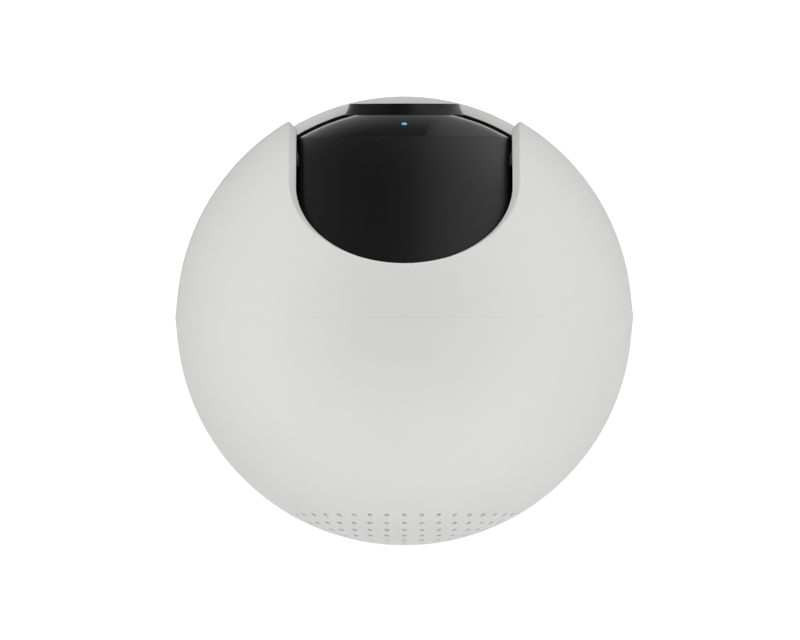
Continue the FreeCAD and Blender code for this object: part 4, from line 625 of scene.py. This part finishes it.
# %% [markdown]
# ## The lens ring
# A dark ring stands round the lens. From above it is the black bar that sticks out at the front: widest at
# its root, drawn in by a hollow curve, and flat at its mouth. Its root overhangs the dome of the mask, and
# leaves a dark wedge there. Inside, a cone leads down to the glass, and a sleeve runs back through the mask.

# %% Ring
ring_outline = [(11.5, 39.05), (11.5, 39.17, 0.05), *arc_between((11.46, 39.22), (10.72, 40.9), 4.3, 1, 12)]
ring_outline += [(10.68, 41.18, 0.12), (8.9, 41.18, 0.25), (7.7, 38.5, 0.3), (7.7, 38.0), (8.6, 38.0)]
ring_outline += [(8.6, 34.0), (9.5, 34.0), (9.5, 39.05)]
lens_ring = turn("lens_ring_body", [beside_lens(*p) for p in soften(ring_outline)], LENS, steps=160)
finish(lens_ring, "lens_unit", "ring_grey", "lens_ring")
# In the photograph the mask is bright right up to the ring and doesn't mirror it.
lens_ring.visible_glossy = False

# %% [markdown]
# ## The barrel and its front glass
# The lens is a small screwed barrel of black metal with a domed glass in its mouth. Fine steps in the
# barrel's face keep stray light out of the glass, and they also catch the eye, because they are all that one
# sees round the glass from the front.

# %% Barrel
barrel = [(4.6, 17.7), (6.0, 17.7, 0.2), (6.0, 31.2), (8.4, 31.2, 0.2), (8.4, 37.8, 0.1)]
barrel += [(7.9, 37.8), (7.75, 37.55), (7.6, 37.8), (7.45, 37.55), (7.3, 37.8), (7.1, 37.8), (6.8, 37.5)]
barrel += [(6.8, 36.4), (4.6, 35.0)]
lens_barrel = turn("lens_barrel_body", [beside_lens(*p) for p in soften(barrel)], LENS, steps=128)
finish(lens_barrel, "lens_unit", "barrel_black", "lens_barrel", smooth=20)

glass = [(0, 36.4), (6.75, 36.4), (6.78, 36.6), (6.78, 37.7)]
glass += arc_between((6.7, 37.85), (0, 39.7), 13.1, -1, 24)
front_glass = turn("front_glass", [beside_lens(*p) for p in glass], LENS, steps=128, closed=False)
finish(front_glass, "lens_unit", "lens_glass", "front_lens")

# %% [markdown]
# ## The status light
# A thin rod of clear plastic carries the light of a lamp on the board up to the mask, where its rounded end
# shows as a small blue dot.

# %% Light pipe
pipe = [(0, 33.1), (0.6, 33.1), (0.6, 37.05), (0.52, 37.28), (0.36, 37.42), (0.18, 37.48), (0, 37.5)]
light_pipe = turn("status_light_pipe", [beside_lens(*p) for p in pipe], LENS, steps=32, closed=False)
light_pipe.data.transform(Matrix.Translation(place(0, 0, LIGHT_UP)))
finish(light_pipe, "lens_unit", "pipe_clear", "status_pipe", smooth=60)

# %% [markdown]
# ## Building a material
# A colour is written as the eight-bit hex value that a screen shows, and one function turns it to the linear
# numbers that Blender's shader adds up. A second function adds a node, with its settings and its links. What
# is the same all over a surface is set on the shader's own socket.

# %% Colours and nodes
def colour(code):
    parts = [int(code[i:i + 2], 16) / 255 for i in (1, 3, 5)]
    return [c / 12.92 if c <= 0.04045 else ((c + 0.055) / 1.055) ** 2.4 for c in parts] + [1.0]


def add(tree, kind, settings, links={}):
    """Adds a node, sets its inputs and properties, and links other nodes' sockets to its inputs."""
    node = tree.nodes.new(kind)
    for name, value in settings.items():
        if isinstance(name, int) or name in node.inputs:
            node.inputs[name].default_value = value
        else:
            setattr(node, name, value)
    for name, socket in links.items():
        tree.links.new(socket, node.inputs[name])
    return node


def new_material(name, settings):
    """A material with its constants set, its node tree, its shader and the piece's own coordinates."""
    material = bpy.data.materials.new(name)
    material.use_nodes = True
    tree = material.node_tree
    shader = tree.nodes["Principled BSDF"]
    for socket, value in settings.items():
        shader.inputs[socket].default_value = value
    return material, tree, shader, tree.nodes.new("ShaderNodeTexCoord").outputs["Object"]


print("mid grey is", round(colour("#808080")[0], 3), "in linear light")

# %% [markdown]
# ## Moulded plastic and rubber
# A plastic piece takes its skin from the mould. The mould's steel is eroded by sparks to a fine, even grain,
# and the plastic copies it: that gives satin instead of gloss. The colour drifts a little where the melt
# cooled faster. So each plastic gets a drift of colour over centimetres, a drift of roughness, and a bump of
# the grain's real size. A grain under a tenth of a millimetre would vanish in the render, so the finest
# grains are drawn at about twice their size.

# %% Plastic recipe
def plastic(name, light, dark, rough, grain, depth, **more):
    """Plastic or rubber: two hex colours, roughness, and the grain's size and depth in millimetres."""
    material, tree, shader, coords = new_material(name, {"IOR": 1.5, **more})
    drift = add(tree, "ShaderNodeTexNoise", {"Scale": 55.0, "Detail": 3.0}, {"Vector": coords})
    tint = add(tree, "ShaderNodeMix", {"data_type": "RGBA", 6: colour(dark), 7: colour(light)},
               {"Factor": drift.outputs["Fac"]})
    tree.links.new(tint.outputs[2], shader.inputs["Base Color"])
    rub = add(tree, "ShaderNodeMapRange", {"To Min": rough * 0.92, "To Max": rough * 1.08},
              {"Value": drift.outputs["Fac"]})
    tree.links.new(rub.outputs[0], shader.inputs["Roughness"])
    skin = add(tree, "ShaderNodeTexNoise", {"Scale": 1000.0 / grain, "Detail": 2.0}, {"Vector": coords})
    bump = add(tree, "ShaderNodeBump", {"Strength": 0.5, "Distance": depth / 1000},
               {"Height": skin.outputs["Fac"]})
    tree.links.new(bump.outputs[0], shader.inputs["Normal"])
    return material


materials = {}
# ABS, spark eroded: the soft satin white of the ball and the base.
materials["white_plastic"] = plastic("white_abs_satin", "#E9E9E8", "#E5E5E4", 0.5, 0.25, 0.004)
# ABS and polycarbonate with a very fine grain: black that turns grey where a lamp grazes it.
materials["black_satin"] = plastic("black_abs_fine_satin", "#0D0D0D", "#0A0A0A", 0.36, 0.2, 0.002)
# Acetal in its natural colour: waxy white gears and bushes.
materials["natural_pom"] = plastic("acetal_natural", "#EBE8DC", "#E3E0D3", 0.38, 0.3, 0.003)
# Glass-filled nylon of the sockets: dull black with specks of fibre.
materials["black_moulding"] = plastic("nylon_glass_filled", "#141414", "#0C0C0C", 0.55, 0.4, 0.006)
# Epoxy of a chip's package: flat dark grey, like fine sandpaper.
materials["chip_black"] = plastic("epoxy_chip_package", "#1B1B1C", "#131314", 0.62, 0.15, 0.005)
# The memory card's moulded body: smooth semi-matt black.
materials["card_black"] = plastic("memory_card_moulding", "#131313", "#0D0D0D", 0.42, 0.2, 0.002)
# The reset button's grey acetal: lighter than the hole it sits in.
materials["button_grey"] = plastic("button_acetal_grey", "#3B3C3E", "#333436", 0.45, 0.2, 0.002)
# Silicone rubber of the foot: soft, dull, a little dusty.
materials["rubber_grey"] = plastic("silicone_foot_grey", "#A9A9A7", "#9C9C9A", 0.78, 0.35, 0.012)
# Foam rubber round the speaker: open cells that swallow light. The same black makes the painted shade in the
# slot's and the rim's gaps.
materials["rubber_black"] = plastic("foam_rubber_black_and_painted_shade", "#101010", "#060606", 0.95, 0.6, 0.08)
# The thin antenna board: dark blue-black lacquer.
materials["antenna_board"] = plastic("antenna_board_lacquer", "#1A1B20", "#111217", 0.4, 0.5, 0.006)
# The lens ring: polycarbonate with a dark metallic paint, whose flakes mirror a little from every side.
materials["ring_grey"] = plastic("polycarbonate_dark_metallic_paint", "#303031", "#2A2A2B", 0.3, 0.2, 0.0015,
                                 Metallic=0.85)
print(len(materials), "plastics and rubbers")

# %% [markdown]
# ## Polished plastic and clear resins
# The mask is moulded against polished steel, so it mirrors the studio like glass and only a faint waviness
# shows that it is plastic. The resins of the lamps and the light pipe are clear. The pipe glows, because the
# status lamp behind it is on in the photograph.

# %% Polished plastic
def polished(name, code, rough, wave, depth, **more):
    """A smooth surface that mirrors: its hex colour, roughness, and the size and depth of its waviness."""
    material, tree, shader, coords = new_material(name, {"Roughness": rough, **more})
    swell = add(tree, "ShaderNodeTexNoise", {"Scale": 1000.0 / wave, "Detail": 1.0}, {"Vector": coords})
    bump = add(tree, "ShaderNodeBump", {"Strength": 0.3, "Distance": depth / 1000},
               {"Height": swell.outputs["Fac"]})
    tree.links.new(bump.outputs[0], shader.inputs["Normal"])
    tint = add(tree, "ShaderNodeHueSaturation", {"Color": colour(code)})
    light = add(tree, "ShaderNodeMapRange", {"To Min": 0.9, "To Max": 1.1}, {"Value": swell.outputs["Fac"]})
    tree.links.new(light.outputs[0], tint.inputs["Value"])
    tree.links.new(tint.outputs[0], shader.inputs["Base Color"])
    return material


# Acrylic mask, tinted through: deep black with sharp reflections.
materials["black_gloss"] = polished("acrylic_polished_black", "#080808", 0.06, 9.0, 0.01, IOR=1.49)
# The infrared lamps' epoxy: water-clear with a grey chip behind.
half_clear = {"IOR": 1.55, "Transmission Weight": 0.5}
materials["lamp_resin"] = polished("lamp_epoxy_clear", "#70707A", 0.08, 2.0, 0.004, **half_clear)
# The light pipe: clear acrylic lit from behind by a blue lamp.
lit = {"IOR": 1.49, "Emission Color": colour("#4C9CC2"), "Emission Strength": 0.6}
materials["pipe_clear"] = polished("light_pipe_acrylic_lit", "#4FA6C8", 0.25, 1.0, 0.004, **lit)
# The image sensor's lid: flat glass over a dark, bluish chip.
materials["sensor_glass"] = polished("sensor_cover_glass", "#12161D", 0.05, 4.0, 0.001, IOR=1.52)
print(len(materials), "materials with the polished ones")

# %% [markdown]
# ## Lens glass
# The front glass is clear, but its anti-reflection coating gives a dim violet and green reflection. The
# Principled shader has a thin film for that: a layer about a third of a micrometre thick. The inner filter
# panes are coloured glass, one of which stops infrared light.

# %% Glass
def glass_of(name, code, film):
    """Coated glass: its hex tint and the thickness of its coating in nanometres."""
    material, tree, shader, coords = new_material(name, {
        "IOR": 1.52, "Transmission Weight": 1.0, "Thin Film Thickness": film, "Thin Film IOR": 1.38})
    dust = add(tree, "ShaderNodeTexNoise", {"Scale": 900.0, "Detail": 4.0}, {"Vector": coords})
    haze = add(tree, "ShaderNodeMapRange", {
        "From Min": 0.55, "From Max": 0.9, "To Min": 0.02, "To Max": 0.12}, {"Value": dust.outputs["Fac"]})
    tree.links.new(haze.outputs[0], shader.inputs["Roughness"])
    tint = add(tree, "ShaderNodeMix", {"data_type": "RGBA", 6: colour(code), 7: colour("#FFFFFF")},
               {"Factor": dust.outputs["Fac"]})
    tree.links.new(tint.outputs[2], shader.inputs["Base Color"])
    return material


# Optical crown glass with a coating: dim violet where it mirrors.
materials["lens_glass"] = glass_of("crown_glass_coated", "#E8EEF6", 330.0)
# Filter glass: reddish against the light.
materials["filter_glass"] = glass_of("infrared_filter_glass", "#C77F9B", 420.0)
print(len(materials), "materials with the glasses")

# %% [markdown]
# ## Metals
# A metal's colour comes from its reflection, so its base colour is bright, it is fully metallic, and its look
# depends on how it was worked. Turned brass and rolled sheet show fine lines, made here by a noise that is
# stretched ten times along the lines. Plating is even, with a slight mottle.

# %% Metal recipe
EVEN, LEVEL, LENGTHWISE, UPRIGHT = (1.0, 1.0, 1.0), (0.1, 0.1, 1.0), (1.0, 0.1, 1.0), (1.0, 1.0, 0.1)


def metal(name, light, dark, rough, line, depth, stretch=EVEN):
    """A metal: two hex colours, roughness, and the size and depth in millimetres of its working marks."""
    material, tree, shader, coords = new_material(name, {"Metallic": 1.0})
    way = add(tree, "ShaderNodeMapping", {"Scale": stretch}, {"Vector": coords})
    marks = add(tree, "ShaderNodeTexNoise", {"Scale": 1000.0 / line, "Detail": 3.0},
                {"Vector": way.outputs[0]})
    tint = add(tree, "ShaderNodeMix", {"data_type": "RGBA", 6: colour(dark), 7: colour(light)},
               {"Factor": marks.outputs["Fac"]})
    tree.links.new(tint.outputs[2], shader.inputs["Base Color"])
    rub = add(tree, "ShaderNodeMapRange", {"To Min": rough * 0.75, "To Max": rough * 1.25},
              {"Value": marks.outputs["Fac"]})
    tree.links.new(rub.outputs[0], shader.inputs["Roughness"])
    bump = add(tree, "ShaderNodeBump", {"Strength": 0.4, "Distance": depth / 1000},
               {"Height": marks.outputs["Fac"]})
    tree.links.new(bump.outputs[0], shader.inputs["Normal"])
    return material


# Brass turned on a lathe: warm yellow with rings of tool marks.
materials["brass"] = metal("brass_turned", "#D9B872", "#B9924C", 0.28, 0.4, 0.01, LEVEL)
# Zinc-plated screws: bluish silver, a little cloudy.
materials["screw_steel"] = metal("steel_zinc_plated", "#C4C5C4", "#A2A4A6", 0.32, 0.8, 0.004)
# The motors' drawn and plated cans: smooth, with faint level lines.
materials["motor_steel"] = metal("steel_drawn_plated", "#C9C9C7", "#B0B0AE", 0.3, 0.5, 0.003, LEVEL)
# The inlet's and sockets' stainless sheet: bright with rolling marks along the plug's way.
materials["inlet_steel"] = metal("stainless_sheet_rolled", "#D0D0CE", "#BEBEBC", 0.22, 0.3, 0.002,
                                 LENGTHWISE)
# The heatsink's anodised aluminium: silver, softly blurred.
materials["aluminium"] = metal("aluminium_anodised", "#D3D5D7", "#C2C4C7", 0.38, 0.3, 0.003, UPRIGHT)
# The retaining ring's blued spring steel: dark and slightly brown.
materials["spring_steel"] = metal("spring_steel_blued", "#74706A", "#55524E", 0.35, 0.6, 0.003)
# Nickel on the speaker's magnet: warm silver.
materials["magnet_steel"] = metal("nickel_plated_magnet", "#BDB9AF", "#A5A198", 0.3, 0.8, 0.004)
# The microphone's tiny plated can: pale and almost smooth.
materials["microphone_steel"] = metal("microphone_can_plated", "#B8B7B2", "#9F9E99", 0.3, 0.3, 0.002)
# The coil's copper wire under lacquer: red-brown with the wires' lines.
materials["coil_copper"] = metal("copper_wire_lacquered", "#B9683A", "#7E3F20", 0.35, 0.25, 0.02, UPRIGHT)
# The barrel's black anodised aluminium: dull black with short, faint lines along it.
materials["barrel_black"] = metal("aluminium_black_anodised", "#26262A", "#151517", 0.4, 0.2, 0.004,
                                  (1.0, 0.2, 1.0))
print(len(materials), "materials with the metals")

# %% [markdown]
# ## Circuit boards and the speaker's paper
# A board is green solder mask over copper tracks. Tracks run along the board with right angles, so a brick
# texture draws them: its bricks are the fields of copper, and its mortar is the gap. The speaker's cone is
# black paper, whose fibres cross in all directions.

# %% Board and paper
COPPER_THICK = 0.03


def board(name, mask_code, track_code, pitch):
    """Solder mask over copper: two hex colours and the tracks' pitch in millimetres."""
    material, tree, shader, coords = new_material(name, {"IOR": 1.5, "Roughness": 0.35})
    axes = add(tree, "ShaderNodeSeparateXYZ", {}, {"Vector": coords})
    depth = add(tree, "ShaderNodeMath", {"operation": "ADD"}, {0: axes.outputs["Y"], 1: axes.outputs["Z"]})
    flat = add(tree, "ShaderNodeCombineXYZ", {}, {"X": axes.outputs["X"], "Y": depth.outputs[0]})
    tracks = add(tree, "ShaderNodeTexBrick", {
        "Scale": 1000.0 / pitch, "Color1": colour(mask_code), "Color2": colour(track_code),
        "Mortar": colour(mask_code), "Mortar Size": 0.03, "Brick Width": 2.4, "Row Height": 0.35},
        {"Vector": flat.outputs[0]})
    tree.links.new(tracks.outputs["Color"], shader.inputs["Base Color"])
    bump = add(tree, "ShaderNodeBump", {"Strength": 0.3, "Distance": COPPER_THICK / 1000},
               {"Height": tracks.outputs["Fac"]})
    tree.links.new(bump.outputs[0], shader.inputs["Normal"])
    return material


# Solder mask over copper, green: slightly glossy, with the tracks just lighter.
materials["board_green"] = board("solder_mask_green", "#0F4A2A", "#1B6238", 2.5)
# Coated paper of the speaker's cone, near enough to the cloth as well: black felted fibres.
materials["speaker_paper"] = plastic("coated_paper_black", "#1C1B1A", "#0F0E0E", 0.85, 0.35, 0.03)
slots = {m["slot"] for m in frame["record"]["materials"]}
print("slots without a material:", sorted(slots - set(materials)), "spare:", sorted(set(materials) - slots))

# %% [markdown]
# ## Handing out the materials
# The record names a slot for each node. The pieces made here ask for theirs by slot too, so no piece is
# forgotten.

# %% Assign
for part in frame["record"]["subparts"]:
    mesh = frame["nodes"][part["node"]].data
    mesh.materials.clear()
    mesh.materials.append(materials[part["material_slot"]])
for piece, slot in dressed:
    piece.data.materials.clear()
    piece.data.materials.append(materials[slot])
print(len(frame["nodes"]), "nodes and", len(dressed), "pieces have their materials")

# %% [markdown]
# ## The floor
# The photograph's background is pure white with no shadow, as in a catalogue. The floor is a pale sheet that
# also glows for the camera, so that the soft shadow round the object burns out to white. Glossy surfaces
# don't mirror it, as in a studio whose background is lit by itself. From below it is clear, so that the
# underside can be looked at.

# %% Floor
FLOOR_R, FLOOR_UP = 6.0, -0.0002
bpy.ops.mesh.primitive_circle_add(vertices=96, radius=FLOOR_R, fill_type="NGON", location=(0, 0, FLOOR_UP))
floor = bpy.context.object
floor.name = floor.data.name = "floor"
bpy.ops.object.transform_apply(location=True, rotation=False, scale=False)
paper = bpy.data.materials.new("pale_studio_paper")
paper.use_nodes = True
tree = paper.node_tree
tree.nodes.clear()
ray = add(tree, "ShaderNodeLightPath", {})
pale = add(tree, "ShaderNodeBsdfDiffuse", {"Color": colour("#EDEDED")})
glow = add(tree, "ShaderNodeEmission", {"Color": colour("#FFFFFF"), "Strength": 0.8})
both = add(tree, "ShaderNodeAddShader", {}, {0: pale.outputs[0], 1: glow.outputs[0]})
seen = add(tree, "ShaderNodeMixShader", {}, {
    0: ray.outputs["Is Camera Ray"], 1: pale.outputs[0], 2: both.outputs[0]})
clear = add(tree, "ShaderNodeBsdfTransparent", {})
side = add(tree, "ShaderNodeNewGeometry", {})
top = add(tree, "ShaderNodeMixShader", {}, {
    0: side.outputs["Backfacing"], 1: seen.outputs[0], 2: clear.outputs[0]})
add(tree, "ShaderNodeOutputMaterial", {}, {"Surface": top.outputs[0]})
floor.data.materials.append(paper)
floor.visible_glossy = False
print("floor of %.0f m, with %d nodes" % (2 * FLOOR_R, len(tree.nodes)))

# %% [markdown]
# ## The studio's light
# The white ball is lit almost evenly, a little more towards its edge, where it faces the horizon, than in its
# middle, where it faces up. The black parts tell more, because they mirror the studio: it is dark in front
# of the lens, and a broad soft lamp stands on the camera's right, whose light fades in from a straight edge.
# A dome of light does both. For matt surfaces it is a glow low over the horizon, a third stronger behind the
# camera and a third weaker in front of it. For mirrors it is that dark room with its soft lamp.

# %% Dome for matt surfaces
GLOW_LOW, GLOW_HIGH, GLOW_ENDS = 3.35, 0.03, 0.45
BACK_MORE, LEFT_MORE = 0.33, 0.05
world = bpy.data.worlds.new("studio")
bpy.context.scene.world = world
world.use_nodes = True
tree = world.node_tree
tree.nodes.clear()
ray = add(tree, "ShaderNodeLightPath", {})
coords = add(tree, "ShaderNodeTexCoord", {})
axes = add(tree, "ShaderNodeSeparateXYZ", {}, {"Vector": coords.outputs["Generated"]})
rise = add(tree, "ShaderNodeMapRange", {
    "From Min": 0.0, "From Max": GLOW_ENDS, "To Min": GLOW_LOW, "To Max": GLOW_HIGH},
    {"Value": axes.outputs["Z"]})
sides = add(tree, "ShaderNodeMath", {"operation": "MULTIPLY_ADD", 1: LEFT_MORE, 2: 1.0},
            {0: axes.outputs["X"]})
ends = add(tree, "ShaderNodeMath", {"operation": "MULTIPLY_ADD", 1: BACK_MORE},
           {0: axes.outputs["Y"], 2: sides.outputs[0]})
total = add(tree, "ShaderNodeMath", {"operation": "MULTIPLY"}, {0: rise.outputs[0], 1: ends.outputs[0]})
even = add(tree, "ShaderNodeBackground", {"Color": colour("#FFFFFF")}, {"Strength": total.outputs[0]})

# %% [markdown]
# ## What the mirrors see
# A colour ramp runs from the camera's right, where the lamp is, to its left. Each pair below is a place on
# it, from -1 to 1, and how bright it is there. What is mirrored steeply downwards is a pale ground instead,
# darker to the front, because the floor itself is hidden from mirrors.

# %% Dome for mirrors
LIGHTS = [(-1.0, 0.9), (-0.5, 0.85), (-0.3, 0.55), (-0.14, 0.34), (-0.1, 0.25), (-0.09, 0.13)]
LIGHTS += [(0.0, 0.12), (0.3, 0.08), (0.6, 0.25), (1.0, 0.45)]
ramp = add(tree, "ShaderNodeValToRGB", {})
across = add(tree, "ShaderNodeMapRange", {"From Min": -1.0, "From Max": 1.0}, {"Value": axes.outputs["X"]})
tree.links.new(across.outputs[0], ramp.inputs[0])
stops = ramp.color_ramp.elements
spots, lights = zip(*LIGHTS)
for spot in spots[1:-1]:
    stops.new((spot + 1) / 2)
for stop, light in zip(stops, lights):
    stop.color = (light, light, light, 1.0)
under = add(tree, "ShaderNodeMapRange", {"From Min": -0.95, "From Max": -0.65}, {"Value": axes.outputs["Z"]})
ground = add(tree, "ShaderNodeMapRange", {"From Min": -0.3, "From Max": 0.0, "To Min": 0.27, "To Max": 0.85},
             {"Value": axes.outputs["Y"]})
room = add(tree, "ShaderNodeMix", {"data_type": "RGBA"}, {
    "Factor": under.outputs[0], 6: ground.outputs[0], 7: ramp.outputs[0]})
mirrored = add(tree, "ShaderNodeBackground", {"Strength": 1.0}, {"Color": room.outputs[2]})
print(len(stops), "stops of light across the room")

# %% [markdown]
# ## Which rays see which dome
# The world asks each ray what it is. A ray straight from the camera sees plain white, a mirrored ray sees
# the dark room, and every other ray sees the glow for matt surfaces.

# %% Which rays see which dome
backdrop = add(tree, "ShaderNodeBackground", {"Color": colour("#FFFFFF"), "Strength": 1.0})
gloss = add(tree, "ShaderNodeMixShader", {}, {
    0: ray.outputs["Is Glossy Ray"], 1: even.outputs[0], 2: mirrored.outputs[0]})
which = add(tree, "ShaderNodeMixShader", {}, {
    0: ray.outputs["Is Camera Ray"], 1: gloss.outputs[0], 2: backdrop.outputs[0]})
add(tree, "ShaderNodeOutputWorld", {}, {"Surface": which.outputs[0]})
print("the world has", len(tree.nodes), "nodes")

# %% [markdown]
# ## The overhead softbox
# The rim of the base lies under the lens unit's nose, which would keep half of an even sky from it. Yet it is
# about as bright as the ball in the photograph. So most of the light on faces that look up comes from a large
# softbox overhead, a little to the front, and the dome is left to light the sides.

# %% Overhead softbox
SOFTBOX_WIDE, SOFTBOX_WATTS = 0.4, 5.35
towards = Vector((0, -0.22, 0.975)).normalized()
bpy.ops.object.light_add(type="AREA", location=MIDDLE + towards)
softbox = bpy.context.object
softbox.name = softbox.data.name = "overhead_softbox"
softbox.rotation_euler = towards.to_track_quat("Z", "Y").to_euler()
softbox.data.size, softbox.data.energy = SOFTBOX_WIDE, SOFTBOX_WATTS
softbox.visible_glossy = False
print("softbox of %.1f m, %.1f W" % (softbox.data.size, softbox.data.energy))

# %% [markdown]
# ## The camera
# The photograph looks straight down, from so far away that nothing tapers. A lens of 1000 mm from more than
# four metres does the same. The ball's outline is 457 pixels wide in a frame of 800, which gives the
# distance, and its middle lies a little right of the frame's middle and a little above it.

# %% Camera
FRAME_WIDE = 0.1544
OFF_RIGHT, OFF_UP = 0.00082, 0.000502
LENS_MM, SENSOR_MM = 1000.0, 36.0
camera_data = bpy.data.cameras.new("camera")
camera_data.lens, camera_data.sensor_width = LENS_MM, SENSOR_MM
camera_data.clip_start, camera_data.clip_end = 0.1, 50.0
camera = bpy.data.objects.new("camera", camera_data)
bpy.context.collection.objects.link(camera)
far = FRAME_WIDE * LENS_MM / SENSOR_MM
camera.location = (OFF_RIGHT, OFF_UP, BALL_UP / 1000 + far)
camera.rotation_euler = (0, 0, math.pi)
bpy.context.scene.camera = camera
bpy.context.scene.view_settings.view_transform = "Standard"
print("camera %.3f m above the ball's middle" % far)
